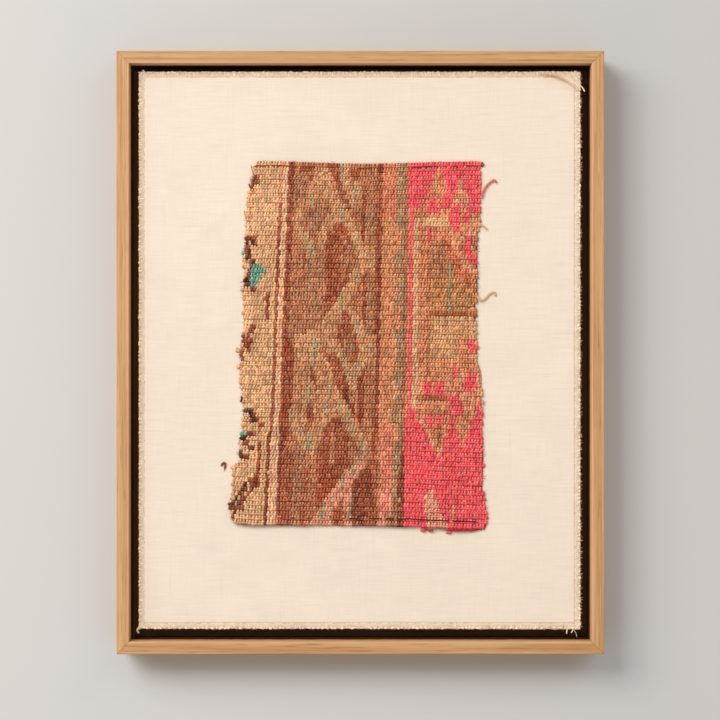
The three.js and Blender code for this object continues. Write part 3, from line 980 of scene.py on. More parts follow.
chart = [  # bands first, and motifs over them
    ("tan", block(-20, 0, -3, 78)), ("tanDeep", block(-3, 0, -2, 9)), ("rustDeep", block(-3, 9, -2, 44)),
    ("umber", block(-3, 17, -2, 26)), ("rustDark", block(-3, 44, -2, 58)), ("umber", block(-4, 58, -3, 78)),
    ("tanPale", block(-2, 0, 0, 78)), ("tanPale", block(-3, 58, -1, 78)), ("brown", block(0, 0, 33, 78)),
    ("rustDark", block(0, 0, 2, 38)), ("rustDeep", block(0, 7, 2, 15)), ("rustDeep", block(0, 30, 3, 36)),
    ("rustDark", shape((0, 38), (3, 38), (4, 42), (4, 50), (3, 54), (2.6, 60), (0, 62))),
    ("umber", block(0, 57, 2, 62)), ("umber", block(0, 62, 1, 76)), ("rustDeep", block(1, 62, 5, 78)),
    # Main border, the fields of the upper part
    ("rustDark", block(4, 1, 9, 2)), ("rustDark", block(8, 2, 9, 5)), ("greyBrown", block(2, 2, 7, 10)),
    ("brown", block(25, 1, 31, 9)), ("greyBrown", block(27, 9, 31, 17)),
    ("vine", shape((7, 5), (12, 3), (14, 8), (12, 9), (8, 8))),
    ("greyBrown", shape((2, 19.6), (10, 21), (14.4, 19), (14.4, 33), (12, 35), (2, 38))),
    ("rustDeep", block(6, 19, 7, 27)), ("brown", block(3, 20, 6, 25)), ("brown", block(4, 29, 8, 34)),
    ("greyBrown", block(28, 25, 31, 34)), ("greyBrown", block(28, 34, 31, 45)), ("rustDeep", block(14, 15, 18, 32)),
    ("rust", shape((18.9, 12.4), (20.6, 14.5), (21.8, 17), (23.6, 20), (23.4, 22.5), (21.6, 24.6), (20.4, 27),
        (18.4, 28.6), (17.4, 31), (16, 33), (15, 32), (14.4, 30), (14.4, 16), (16, 14.4))),
    ("brown", shape((19, 18), (21.6, 19), (21.6, 23), (20.4, 25.4), (18.8, 26.6))),
    ("rustDark", block(14, 15, 16, 31)), ("rustDark", block(17, 14, 18, 30)),
    ("greyBrown", shape((20.4, 16.6), (23.4, 20), (23, 22.6), (20.8, 22.6))), ("rustDark", block(26, 6, 27, 17)),
    ("umber", block(26, 7, 27, 12)), ("rustDark", block(27, 24, 28, 35)), ("umber", block(27, 30, 28, 35)),
    # Main border, the pale lattice of the upper part
    ("vinePale", shape((9.6, 1.4), (13.6, 1.2), (15.4, 4.4), (17.4, 7.6), (19.6, 9.6), (21.6, 11), (23.8, 13.6),
        (25.4, 16), (27, 17.6), (31, 17.8), (31.4, 21), (31, 23), (26.4, 23.4), (24.8, 21), (24.6, 19.6),
        (22.6, 17), (20.8, 14.6), (19.8, 12.4), (17.4, 11.6), (14.8, 10), (14, 8), (12.4, 6.4), (10.6, 5), (9, 4))),
    ("vinePale", shape((26.8, 22.6), (26.4, 25), (24.6, 27.4), (23, 29), (21.6, 31), (20, 32.6), (18, 35),
        (16.4, 38), (4, 38), (8, 36.4), (12, 35), (15, 33), (17, 31), (18.6, 28.8), (20.6, 27), (22, 25),
        (23.6, 23.4))),
    ("vinePale", shape((18.4, 0), (20.6, 0), (21.4, 3), (22.4, 5.4), (23.6, 4), (25.4, 3.6), (25.6, 6.6),
        (24.2, 9.4), (22.6, 9.8), (20.8, 8.4), (20, 5), (18.8, 2.6))),
    ("vinePale", shape((17, 8.4), (20, 9), (19.4, 12.6), (17, 12.6), (15.6, 13.6), (14, 15), (13.4, 19),
        (11.2, 19.4), (11, 16), (12, 13.6), (13.6, 12), (16, 10.4))),
    ("vinePale", shape((8.4, 6.4), (9.6, 8), (7.6, 9), (6, 10.6), (4.6, 12), (5, 13), (6.4, 14.6), (8, 16),
        (9.6, 19), (10.6, 21), (8, 20), (5, 18.8), (4.4, 16.6), (3.4, 14.4), (2.2, 12.2), (3, 11), (5, 9), (7, 7.2))),
    ("greyBrown", shape((8.6, 9), (12, 8.6), (13, 11), (11.6, 13.6), (10.8, 16), (9.4, 16), (7.6, 14), (5.6, 12.2))),
    ("rust", shape((13.6, 0), (18.3, 0), (18.4, 3), (20.4, 7.6), (22.2, 10), (20.6, 10), (18.8, 7.6), (17, 5),
        (15.2, 3))),
    ("rust", shape((20.8, 0.6), (25.2, 0.6), (24.4, 3.4), (22.4, 4.2))),
    # Main border, the fields of the middle and lower part
    ("rustDark", shape((20.4, 31.8), (22.4, 31.8), (22.6, 34.4), (20, 34.4))),
    ("rust", shape((20, 34), (22.6, 34.4), (24.4, 37), (26, 40), (25.4, 42.6), (23, 43), (20.4, 40), (18.6, 38),
        (18.8, 36))),
    ("greyBrown", shape((21, 37), (24, 37.4), (25, 40), (23.6, 42.4), (21.4, 40))),
    ("rustDeep", shape((13, 39.8), (15.6, 40.8), (18, 42), (20.4, 44), (22.2, 46.6), (23.6, 49), (25.6, 50),
        (25.6, 56), (23, 54), (19, 50), (17, 45), (15, 42.6))),
    ("umber", shape((20.8, 45.4), (22.6, 47), (24, 50), (25, 54.6), (22.6, 52.6), (21.2, 50.2))),
    ("greyBrown", block(23, 49, 25, 52)), ("rustDark", shape((26, 45), (28.2, 44), (28.2, 56), (27.2, 58), (26, 54))),
    ("umber", block(26, 46, 27, 51)), ("brownTan", block(25, 50, 26, 57)),
    ("vine", shape((4, 42.4), (9.6, 42), (12, 45), (14.4, 46), (16, 48), (17.6, 50), (19, 52), (20.8, 54), (18, 56),
        (15.4, 56), (13.6, 60), (10.6, 62), (8.4, 61), (6.4, 59), (4.4, 57), (2.6, 54.4), (4, 52))),
    ("greyBrown", block(5, 60, 9, 78)), ("rustDeep", block(8, 66, 10, 78)), ("brown", block(10, 62, 13, 78)),
    ("rustDeep", block(13, 61, 15, 77)),
    ("rust", shape((15.4, 56.4), (17, 55.4), (19, 55), (21.4, 56.6), (23, 59), (25.4, 61), (26.4, 62.6), (24, 65),
        (21.6, 67), (19.6, 69), (17, 71.4), (14.6, 73.6), (14, 70), (14, 60))),
    ("rustDark", shape((15.4, 65), (18.6, 65), (18.6, 69.6), (16.6, 71.4), (15, 72))),
    ("rustDark", block(21, 57, 22, 63)), ("brown", block(17, 58, 19, 65)),
    ("greyBrown", shape((22.4, 59.6), (25.4, 61), (25.4, 63.4), (23, 63.6))),
    ("rustDeep", shape((19.6, 73.6), (22.2, 72.4), (22.2, 78), (18.6, 78))),
    ("rustDeep", shape((30.6, 63.6), (33, 63), (33, 78), (25.2, 78), (25, 71), (26.6, 67.4))),
    ("rustDark", shape((29, 65), (31.4, 64.4), (31, 72), (29, 78), (26.6, 78), (26.4, 69))),
    ("umber", block(25, 68, 27, 76)), ("umber", block(27, 75, 29, 78)), ("umber", block(29, 66, 31, 72)),
    ("rust", block(31, 70, 33, 78)),
    # Main border, the pale lattice of the middle and lower part
    ("vinePale", shape((4, 37), (17, 37), (19, 39), (18, 41), (15.4, 40.6), (13.2, 39.8), (12.6, 42), (9.6, 43.6),
        (6.6, 42.6), (4.4, 41))),
    ("vinePale", shape((9, 42), (12.4, 42), (13.4, 44.6), (14.4, 46.8), (12.6, 47.6), (10.8, 45.6), (9.6, 44))),
    ("vinePale", shape((22.4, 31.4), (24.6, 32), (26.4, 34), (28, 36.4), (30.6, 37.4), (30.6, 42), (28.6, 43),
        (27.4, 44.6), (26.2, 46.6), (25.4, 49), (23.6, 49), (22.4, 46.4), (20.6, 43.6), (19, 41.4), (16, 40),
        (17, 38), (19.6, 39.4), (21.4, 41.4), (23, 43.6), (24, 44.4), (25, 42.4), (26.2, 40.6), (25.4, 38),
        (23.8, 35.6), (22.6, 33.6))),
    ("vinePale", shape((11.6, 40), (13.6, 40.6), (15.4, 42.6), (17, 44.6), (18, 47), (19.6, 49.4), (21.6, 51),
        (23.2, 53), (25.2, 55.4), (27, 57.6), (29.6, 59.6), (31, 61.4), (26.6, 61.4), (25.4, 60.4), (24, 58),
        (22, 56), (20.8, 54), (19, 52), (17.6, 50), (16.2, 48), (15, 46), (13.6, 44), (12.6, 42.4))),
    ("vinePale", shape((2.4, 54), (3.6, 53.6), (5, 56), (6.6, 58), (8.6, 60.4), (10.4, 61.4), (12, 59.6),
        (13.4, 57), (14.6, 55.2), (16, 55.6), (14.8, 58), (13.2, 60.6), (11.6, 62.6), (9.6, 62.8), (7.4, 61.4),
        (5.4, 59), (3.6, 56.6))),
    ("vineRose", shape((26.6, 60.6), (30.6, 60.6), (31, 62.6), (29.6, 64.4), (27, 66), (25.4, 68), (24, 70),
        (22, 72), (19, 74.4), (17.6, 76), (18.4, 78), (11, 78), (12.4, 76), (14.4, 74), (16.8, 72), (18.8, 70),
        (20.8, 68), (23, 66), (25.6, 64), (26.8, 62.6))),
    ("vineRose", shape((21.6, 71.4), (24.6, 70), (25, 78), (22.4, 78), (22.6, 74))),
    ("rustDark", block(10, 44, 11, 47)), ("rustDeep", block(11, 46, 12, 48)),
    ("rust", shape((8.8, 51), (10.6, 51), (10.6, 56), (9.4, 57), (8.8, 54))), ("umber", block(31, 0, 33, 2)),
    ("rust", block(31, 2, 33, 17)), ("rustDark", block(31, 17, 33, 37)), ("umber", block(32, 20, 33, 52)),
    ("rustDark", block(32, 52, 33, 58)), ("rustDeep", block(31, 52, 32, 64)), ("rustDeep", block(32, 58, 33, 66)),
    # Guard band and the edge of the pink field
    ("salmon", block(33, 0, 42, 78)), ("orange", block(33, 0, 38, 12)), ("rose", block(34, 56, 38, 78)),
    ("blush", block(34, 70, 38, 78)), ("brown", block(33, 62, 34, 78)), ("greyGreen", block(38, 0, 42, 14)),
    ("greyGreen", lens(42, 12, 4.6, 4)), ("greyGreen", lens(42, 21.4, 4.4, 4)), ("greyGreen", lens(42, 29, 4, 4)),
    ("greyGreen", lens(42, 37.4, 4.6, 4)), ("greyGreen", lens(42, 43, 4.6, 4)), ("greyGreen", lens(42, 53.4, 5, 5)),
    ("greyGreen", lens(42, 62, 4.6, 4)), ("greyGreen", block(40, 0, 42, 78)), ("olive", block(41, 0, 42, 56)),
    ("olive", block(40, 3, 41, 9)), ("olive", block(41, 56, 42, 64)), ("umber", block(40, 66, 42, 78)),
    ("umber", block(41, 62, 42, 68)), ("greyGreen", block(38, 64, 39, 76)), ("brown", block(39, 62, 40, 78)),
    ("greyBrown", block(36, 76, 40, 78)), ("sage", flecked(38, 10, 41, 60, 0.38)),
    ("sage", flecked(39, 2, 41, 9, 0.5)), ("sage", flecked(38, 60, 41, 76, 0.3)), ("pink", block(42, 0, 80, 78)),
    ("rose", block(42, 10, 43, 55)), ("red", block(43, 10, 44, 55)), ("tan", block(44, 11, 46, 53)),
    ("brownTan", block(46, 12, 49, 53)), ("brown", block(49, 17, 50, 47)),
    # Stepped motif of the pink field
    ("brownTan", shape((52.2, 1.2), (53.6, 1.6), (54.6, 4), (54.6, 6.8), (53.8, 9), (52.8, 10.4), (51.8, 9.6),
        (51.4, 7.2), (50.6, 7.2), (49, 9), (47.6, 11), (46, 11), (47.2, 8.4), (49, 6), (50.6, 3.8))),
    ("tanDeep", shape((59.6, 4), (60.6, 4), (61.6, 6), (63.4, 8.4), (63.4, 9.8), (61.6, 10.6), (60.4, 9.6),
        (59.4, 9), (58.4, 9.4), (57, 11), (55.8, 11), (57, 8.8), (58.2, 7))),
    ("brownTan", block(44, 10, 48, 12)), ("brownTan", block(48, 11, 57, 12)), ("tanDeep", block(53, 10, 57, 12)),
    ("tan", block(47, 12, 56, 14)), ("brownTan", block(56, 11, 68, 19)),
    ("tanDeep", shape((60, 13), (67, 12), (67, 16), (62, 16))),
    ("pink", shape((57, 10.4), (58.6, 9.8), (59.8, 11), (59.8, 14.6), (58.8, 15.6), (57.2, 13.8), (55.6, 12.6),
        (56, 11))),
    ("pink", shape((61, 11), (62, 10.2), (63.4, 12), (62.4, 13.6), (61, 13))), ("pink", block(63, 9, 68, 11)),
    ("brownTan", block(60, 10, 61, 15)), ("orange", block(50, 14, 56, 17)), ("brown", block(50, 17, 68, 32)),
    ("honey", block(50, 25, 68, 32)), ("brownTan", block(50, 14, 55, 15)),
    ("tanDeep", shape((54.6, 13.6), (56.6, 13.6), (58.6, 16), (60.2, 18.4), (62.2, 20.6), (65, 23), (67.4, 25),
        (65, 25.4), (62.4, 23.6), (60, 21), (58, 18.6), (56, 16))),
    ("copper", shape((55, 16.4), (56.6, 17), (58.6, 19.6), (61.6, 22.8), (64.4, 25.6), (66.4, 27.6), (64, 27.4),
        (60.6, 25), (57.8, 21.6), (55.8, 19))),
    ("pink", shape((61.6, 18), (62.4, 16.4), (63.6, 16.4), (64.2, 18.6), (66.4, 20.4), (68, 22.4), (64.6, 22),
        (62.6, 20.4), (61.6, 19))),
    ("rust", block(50, 32, 68, 33)), ("gold", block(50, 33, 68, 47)), ("tanDeep", block(59, 38, 68, 50)),
    ("brownTan", shape((60, 40), (66, 40), (64, 45), (60, 44))),
    ("pink", dots((58, 43), (58, 44), (59, 44), (58, 45))),
    ("pink", shape((62.4, 38.6), (64.4, 38), (66, 39), (64.8, 41.2), (63.6, 40.6))),
    ("pink", shape((64.4, 44.6), (66.4, 44.6), (66.4, 47), (64.6, 48.4), (64, 50.2), (62.6, 49.6), (61.4, 47.6),
        (62.4, 46.2))),
    ("salmon", block(50, 42, 58, 46)), ("tanDeep", block(47, 46, 59, 50)), ("brownTan", block(50, 46, 55, 47)),
    ("red", block(48, 47, 51, 50)), ("red", block(52, 47, 55, 50)), ("rust", block(47, 50, 56, 51)),
    ("tanDeep", block(46, 51, 57, 53)), ("brown", block(46, 53, 56, 54)), ("pink", block(42, 55, 46, 60)),
    ("tanDeep", shape((57, 49), (68, 49), (66.4, 52.6), (64.6, 55), (63.8, 57), (62.4, 59), (61.4, 60.8),
        (60.2, 58.6), (58.8, 56), (57.4, 53.4))),
    ("brownTan", shape((61, 53), (64, 53), (63.4, 56), (62, 59), (60.8, 57))),
    ("pink", shape((57.6, 50), (59.6, 49.4), (60.4, 51.2), (61.8, 52.6), (60.8, 54), (59.4, 54.6), (58.4, 53.6),
        (56.4, 53), (57.2, 51.6))),
    ("tanDeep", shape((44.4, 53.6), (57.6, 53.6), (57.4, 55), (56.4, 57), (55.4, 59), (54.6, 61.4), (53.4, 62.8),
        (52.4, 61.6), (50.4, 59.4), (48.4, 57), (46.2, 55))),
    ("brownTan", shape((48.4, 54), (56.4, 54), (55.4, 57), (54.4, 59.4), (53.2, 61), (51.6, 59), (50, 56.6))),
    ("rust", shape((52.4, 55.6), (54, 55.6), (53.8, 60), (52.8, 59))), ("red", block(49, 54, 52, 56)),
    ("red", dots((50, 56), (51, 56))), ("red", block(53, 54, 55, 56)),
    ("pink", shape((56.6, 56.4), (57.6, 55), (58.8, 57), (60.2, 59.4), (61.2, 61.4), (54.6, 61.4), (55.6, 59))),
    ("vineRose", shape((49, 71), (50.4, 70), (51.6, 70), (52.8, 72.2), (54.2, 74.2), (55.8, 76.4), (57.4, 78),
        (50.4, 78), (49.4, 75))),
    ("red", block(43, 56, 45, 72)), ("tanDeep", block(58, 69, 59, 71)), ("tanDeep", block(58, 73, 59, 77)),
    ("red", shape((56, 62), (60, 62), (59, 70), (57, 70))),
    # Figures at the torn left edge
    ("umber", dots((-11, 3), (-12, 3), (-12, 4), (-13, 4), (-13, 5), (-11, 4))),
    ("umber", dots((-14, 16), (-13, 16), (-12, 16), (-11, 16), (-11, 17), (-14, 18), (-13, 18), (-14, 19),
        (-13, 20), (-12, 21), (-12, 22), (-13, 23), (-13, 24), (-14, 26), (-11, 27), (-12, 27))),
    ("soot", dots((-14, 17), (-12, 17), (-13, 19), (-14, 20), (-11, 21), (-14, 25), (-13, 25), (-13, 26), (-12, 26),
        (-11, 26))),
    ("tan", block(-12, 18, -11, 21)), ("teal", dots((-15, 17), (-16, 17), (-15, 19), (-16, 18))),
    ("teal", shape((-11.4, 22.4), (-8.4, 22.4), (-7.4, 23.6), (-7.6, 24.8), (-9, 25.2), (-9.4, 25.8), (-10, 26.8),
        (-12.2, 26.6), (-12.6, 24.8), (-11.8, 23.6))),
    ("umber", dots((-6, 28), (-6, 29), (-6, 30), (-6, 31), (-6, 33))), ("rustDark", dots((-7, 29), (-6, 32))),
    ("umber", dots((-10, 35), (-11, 36), (-12, 37), (-14, 37), (-14, 38), (-11, 38), (-12, 39), (-13, 39),
        (-14, 41), (-14, 42))),
    ("rustDark", dots((-12, 36), (-11, 35), (-13, 38), (-12, 38), (-14, 40), (-12, 40))),
    ("soot", dots((-12, 53), (-11, 53), (-10, 53), (-10, 54), (-9, 55))),
    ("umber", dots((-9, 54), (-8, 55), (-13, 53), (-10, 55))), ("rust", dots((-7, 56), (-6, 56), (-7, 57))),
    ("umber", dots((-11, 58), (-10, 58), (-9, 58))), ("teal", dots((-13, 58), (-12, 58))),
    ("soot", dots((-12, 59), (-13, 59), (-14, 61), (-14, 62), (-13, 62), (-13, 63), (-9, 61))),
    ("umber", dots((-14, 60), (-12, 63), (-11, 63), (-12, 60), (-11, 60), (-10, 61))),
    ("rustDark", block(-7, 60, -6, 70)), ("umber", dots((-7, 61), (-7, 63), (-7, 65), (-8, 68), (-7, 69), (-8, 67))),
    ("soot", dots((-12, 70), (-13, 71), (-14, 72), (-15, 73), (-13, 73), (-14, 75), (-11, 69))),
    ("umber", dots((-11, 70), (-9, 70), (-10, 71), (-11, 72), (-12, 73), (-12, 74), (-13, 74), (-15, 74), (-16, 74),
        (-15, 76), (-10, 68), (-9, 69))),
    ("rustDark", dots((-8, 69), (-9, 68), (-12, 71), (-12, 72), (-14, 74))),
]
greenFlecks = [  # column, first row, last row
    (18, 0, 4), (19, 4, 6), (23, 5, 8), (8, 7, 10), (18, 9, 11), (19, 10, 13), (7, 15, 18), (8, 17, 20),
    (9, 18, 21), (24, 16, 19), (24, 23, 26), (19, 28, 32), (18, 29, 30), (25, 34, 37), (10, 37, 44),
    (11, 38, 42), (20, 40, 44), (22, 44, 47), (25, 42, 46), (30, 39, 41), (9, 48, 52), (16, 47, 50),
    (15, 51, 54), (20, 51, 54), (22, 53, 56), (24, 56, 59), (4, 53, 56), (6, 56, 59), (9, 58, 62), (10, 59, 62),
    (27, 59, 64), (29, 61, 62), (25, 64, 67), (21, 67, 70), (15, 73, 76), (14, 75, 77), (24, 73, 77),
    (56, 22, 32), (39, 3, 6), (38, 11, 14), (38, 20, 23), (38, 36, 38), (40, 12, 15), (38, 45, 48),
    (38, 53, 56), (40, 24, 28), (40, 38, 41), (39, 62, 65), (38, 68, 70),
]


def yarnAt(column, row):
    middle = (column + 0.5, row + 0.5)
    for left, top, bottom in greenFlecks:
        if column == left and top <= middle[1] < bottom:
            return "sage" if 36 < column < 42 and (row + column) % 2 else "green"
    for name, inside in reversed(chart):
        if inside(*middle):
            return name
    return "brown"


# Knots: a raised head over a broader foot for each, the head lightened by painted light and highlight and the foot
# darkened by painted shade, drawn together into a mesh for each band
knot = {
    "highlightGain": 0.95, "lean": 0.17, "leanPatches": 0.42, "leanSpread": 0.19, "forward": 0.35, "turnedBack": 0.35,
    "shift": 1.3, "uneven": 0.42, "rowUneven": 0.22, "rowWave": 0.15, "ragged": (-0.5, 0.7), "sizes": (0.84, 1.2),
    # the head's higher tone and stronger highlight are painted light, the foot's lower tone is painted shade
    "head": {"half": (1.12, 1.2, 1.42), "above": 0.76, "back": 0.0, "tiltDegrees": 16, "highlight": 1.0, "tone": 1.04},
    "foot": {"half": (1.85, 1.15, 1.5), "above": -0.92, "back": 0.16, "tiltDegrees": 4, "highlight": 0.3, "tone": 0.93},
}


unevenDye = {"rows": 0.13, "columns": 0.12, "patches": 0.11, "knots": 0.22, "pinkKnots": 0.121, "warmth": 0.08}


def wornColour(name, row, column):  # a yarn's colour with the dyer's and the weaver's unevenness
    byRow = 1 + unevenDye["rows"] * noiseAt(row * 0.9, 3.1, column * 0.06)
    byColumn = 1 + unevenDye["columns"] * noiseAt(column * 0.8, row * 0.05, 7.7)
    byPatch = 1 + unevenDye["patches"] * noiseAt(column * 0.16, row * 0.13, 1.7)
    byKnot = 1 + jitter(unevenDye["pinkKnots" if name in ("pink", "red") else "knots"])
    colour = yarnColour(name) * byRow * byColumn * byPatch * byKnot
    warmth = jitter(unevenDye["warmth"])
    return Vector((colour.x * (1 + warmth), colour.y, colour.z * (1 - warmth)))


def leanOf(column, row):  # neighbours lean alike, mostly to the right
    patch = noiseAt(column * 0.11, row * 0.45, 3.3)
    return knot["lean"] + knot["leanPatches"] * patch + random.gauss(0, knot["leanSpread"])


knotBands = {  # first and last column of each mesh
    "knotsTornBorder": (-20, 0), "knotsMainBorder": (0, 16), "knotsVineBorder": (16, 33),
    "knotsGuardBand": (33, 50), "knotsPinkField": (50, 80),
}


def makeKnots():
    lobes = {name: [] for name in knotBands}
    random.seed(5)
    for row in range(fragmentSize["rows"]):
        wave = random.uniform(0, 6)
        for column in range(-20, 80):
            x = columnX(column, row)
            height = rowsHeight(x)
            fromTop = (row + 0.5) * height / fragmentSize["rows"]
            ragged = random.uniform(*knot["ragged"])
            if not readTable(leftEdge, fromTop) + ragged < x < readTable(rightEdge, fromTop) - ragged:
                continue
            turned = row in (0, fragmentSize["rows"] - 1)
            colour = wornColour(yarnAt(column, row), row, column)
            size = random.uniform(*knot["sizes"])
            uneven = knot["uneven"] * noiseAt(column * 0.22, row * 0.8, 9.1)
            uneven += knot["rowUneven"] * noiseAt(row * 1.7, 0.5, 4.9)
            x += knot["shift"] * noiseAt(column * 0.06, row * 1.9, 8.4) + jitter(0.4)
            z = heightOf(x, fromTop) + jitter(0.18) + uneven
            z += knot["rowWave"] * math.sin(column * 0.35 + wave)
            y = frontOf(x, fromTop, height) + knot["head"]["half"][1] - random.uniform(-0.1, 0.35)
            y -= knot["turnedBack"] if turned else 0
            slantAngle = random.uniform(-0.02, 0.26) if turned else leanOf(column, row)
            # how strong each knot's painted highlight is, different for each knot
            highlight = knot["highlightGain"] * (0.12 + 1.7 * random.random() ** 1.9)
            forward = knot["forward"] * noiseAt(column * 0.14, row * 0.9, 6.2)
            band = next(name for name, (first, last) in knotBands.items() if first <= column < last)
            for part in (knot["head"], knot["foot"]):
                lobes[band].append({
                    "at": (x + jitter(0.12) + part["above"] * math.tan(slantAngle),
                           y + part["back"] - forward, z + part["above"]),
                    "half": tuple(length * size * random.uniform(0.93, 1.07) for length in part["half"]),
                    "slant": slantAngle, "tilt": math.radians(part["tiltDegrees"]) * random.uniform(0.5, 1.4),
                    "colour": colour * part["tone"] * random.uniform(0.9, 1.1), "highlight": clamped(highlight * part["highlight"]),
                })
    made = []
    for name, found in lobes.items():
        piece = addToFragment(name, lobeMesh(name, found), knotMaterial)
        made.append(piece)
        print(name, len(found) // 2, "knots,", len(piece.data.polygons), "triangles")
    return made


# The woven ground under the knots, which shows in the grooves, at the sides and from below
wovenGround = {
    "cellsAcross": 84, "cellsDown": 156, "inset": 0.5, "behindFront": 1.2, "thickness": 1.3 * mm, "tall": 325,
}


def makeFragmentGround():
    def place(u, v):
        height = readTable(bottomEdge, u)
        fromTop = v * height
        left, right = readTable(leftEdge, fromTop), readTable(rightEdge, fromTop)
        x = blendBetween(left + wovenGround["inset"], right - wovenGround["inset"], u)
        return Vector((x, frontOf(x, fromTop, height) + wovenGround["behindFront"], heightOf(x, fromTop))) * mm
    mesh = gridMesh("fragmentGround", wovenGround["cellsAcross"], wovenGround["cellsDown"], place)
    dark = []
    for vert in mesh.vertices:
        weft = 0.85 + 0.3 * noise.noise(vert.co * 900)
        row = rowAt(fragmentSize["top"] - vert.co.z / mm, wovenGround["tall"])
        colour = yarnColour(yarnAt(columnAt(vert.co.x / mm, row), int(row)))
        # painted shade: the ground takes a darker, deeper copy of the yarn of the knot in front, so the grooves read as
        # shaded
        dark.append(Vector([channel ** 1.3 for channel in colour]) * 0.66 * weft)
    paint(mesh, np.array(dark))
    piece = addToFragment("fragmentGround", mesh, warpMaterial)
    thicken(piece, wovenGround["thickness"])
    return piece


# Dark stitches under the turned edges, and small tufts: short thick loops lying on the weave
stitchHalf = {"thinAtTop": 0.48, "thickAtBottom": 0.64, "deep": 0.6, "long": 1.6}
stitchRuns = [  # row, first column, last column, share of stitches left, yarn
    (1.0, 44, 57, 0.55, "maroon"), (1.0, 57, 66, 0.55, "maroon"), (1.0, -12, 1, 0.9, "umber"),
    (1.0, 1, 10, 0.8, "umber"), (1.0, 24, 33, 0.6, "umber"), (1.0, 40, 48, 0.5, "umber"),
    (76.4, 41, 66, 0.95, "soot"), (76.4, 24, 41, 0.55, "soot"), (76.4, 0, 24, 0.25, "umber"),
]
edgeTufts = [  # x, z, half width, half height, yarn
    (-108.4, -257.2, 2.1, 2.3, "tanPale"), (-107.6, -272.3, 2.0, 2.0, "tanPale"), (107.4, -93.6, 1.2, 2.6, "umber"),
    (55.8, -416.2, 3.0, 1.7, "red"), (62, -416.8, 2.6, 1.5, "pink"), (78, -418.2, 3.2, 1.4, "red"),
    (106.5, -310, 1.4, 2.2, "tanDeep"), (108, -303.5, 1.3, 2.4, "tan"), (-103.6, -183, 1.2, 2.6, "tan"),
    (-104.8, -300.6, 1.0, 3.2, "soot"), (-112.6, -361.6, 2.0, 2.0, "tanPale"), (-115.6, -393.4, 1.4, 1.8, "umber"),
]


def makeStitches():
    random.seed(31)
    loops = []
    for row, first, last, share, name in stitchRuns:
        thick = stitchHalf["thinAtTop" if row < fragmentSize["rows"] / 2 else "thickAtBottom"]
        for column in range(first, last):
            if random.random() > share:
                continue
            x = columnX(column, row)
            height = rowsHeight(x)
            fromTop = (row + 0.05) * height / fragmentSize["rows"]
            colour = yarnColour(name) * random.uniform(0.7, 1.3)
            z = heightOf(x, fromTop) + jitter(0.25)
            loops.append({
                "at": (x, frontOf(x, fromTop, height) - 0.15, z),
                "half": (thick, stitchHalf["deep"], stitchHalf["long"] * random.uniform(0.8, 1.2)),
                "slant": math.pi / 2 + random.uniform(-0.35, 0.2), "tilt": 0.0, "colour": colour, "highlight": 0.05,
            })
    return addToFragment("edgeStitching", lobeMesh("edgeStitching", loops), knotMaterial)


def makeTufts():
    random.seed(32)
    loops = []
    for x, z, halfWidth, halfHeight, name in edgeTufts:
        for _ in range(5):
            colour = yarnColour(name) * random.uniform(0.7, 1.15)
            loops.append({
                "at": (x + jitter(0.4) * halfWidth, clothSize["frontY"] / mm - random.uniform(1.3, 2.4),
                       z + jitter(0.4) * halfHeight),
                "half": (halfWidth * 0.62, 1.1, halfHeight * 0.72), "slant": jitter(1.2),
                "tilt": jitter(0.4), "colour": colour, "highlight": 0.4,
            })
    return addToFragment("edgeTufts", lobeMesh("edgeTufts", loops), knotMaterial)


# Wool hairs that stand out from the cut sides and the turned ends
fuzz = {
    "count": 900, "radius": 0.11, "shortest": 0.8, "longest": 2.6,
    "sides": {"left": 5, "right": 4, "top": 2, "bottom": 3},  # how much of it each side has
}


def makeFuzz():
    random.seed(33)
    strands, colours = [], []
    for _ in range(fuzz["count"]):
        side = random.choices(list(fuzz["sides"]), list(fuzz["sides"].values()))[0]
        if side in ("left", "right"):
            fromTop = random.uniform(1, 320)
            x = readTable(leftEdge if side == "left" else rightEdge, fromTop)
            outward = Vector((-1 if side == "left" else 1, 0, jitter(0.8)))
        else:
            x = random.uniform(-90, 104) if side == "top" else random.uniform(-112, 110)
            fromTop = 0.4 if side == "top" else fragmentHeight(x) - 0.6
            outward = Vector((jitter(0.8), 0, 1 if side == "top" else -1))
        height = fragmentHeight(x)
        row = rowAt(fromTop, height)
        inner = columnAt(x, row) + {"left": 1, "right": -1}.get(side, 0)
        root = Vector((x, frontOf(x, fromTop, height) + random.uniform(0.8, 2.6), heightOf(x, fromTop)))
        reach = random.uniform(fuzz["shortest"], fuzz["longest"]) * random.uniform(0.4, 1)
        droop = Vector((jitter(0.4), random.uniform(-0.3, 0.5), random.uniform(-0.5, 0.4)))
        outward.normalize()
        radius = fuzz["radius"] * random.uniform(0.7, 1.6) * mm
        strands.append((hair(root * mm, outward * reach * mm, droop * reach * mm), radius))
        colours.append(yarnColour(yarnAt(inner, int(row))) * random.uniform(0.7, 1.2))
    mesh = strandMesh("woolFuzz", strands, 3, colours)
    return addToFragment("woolFuzz", mesh, yarnMaterial)


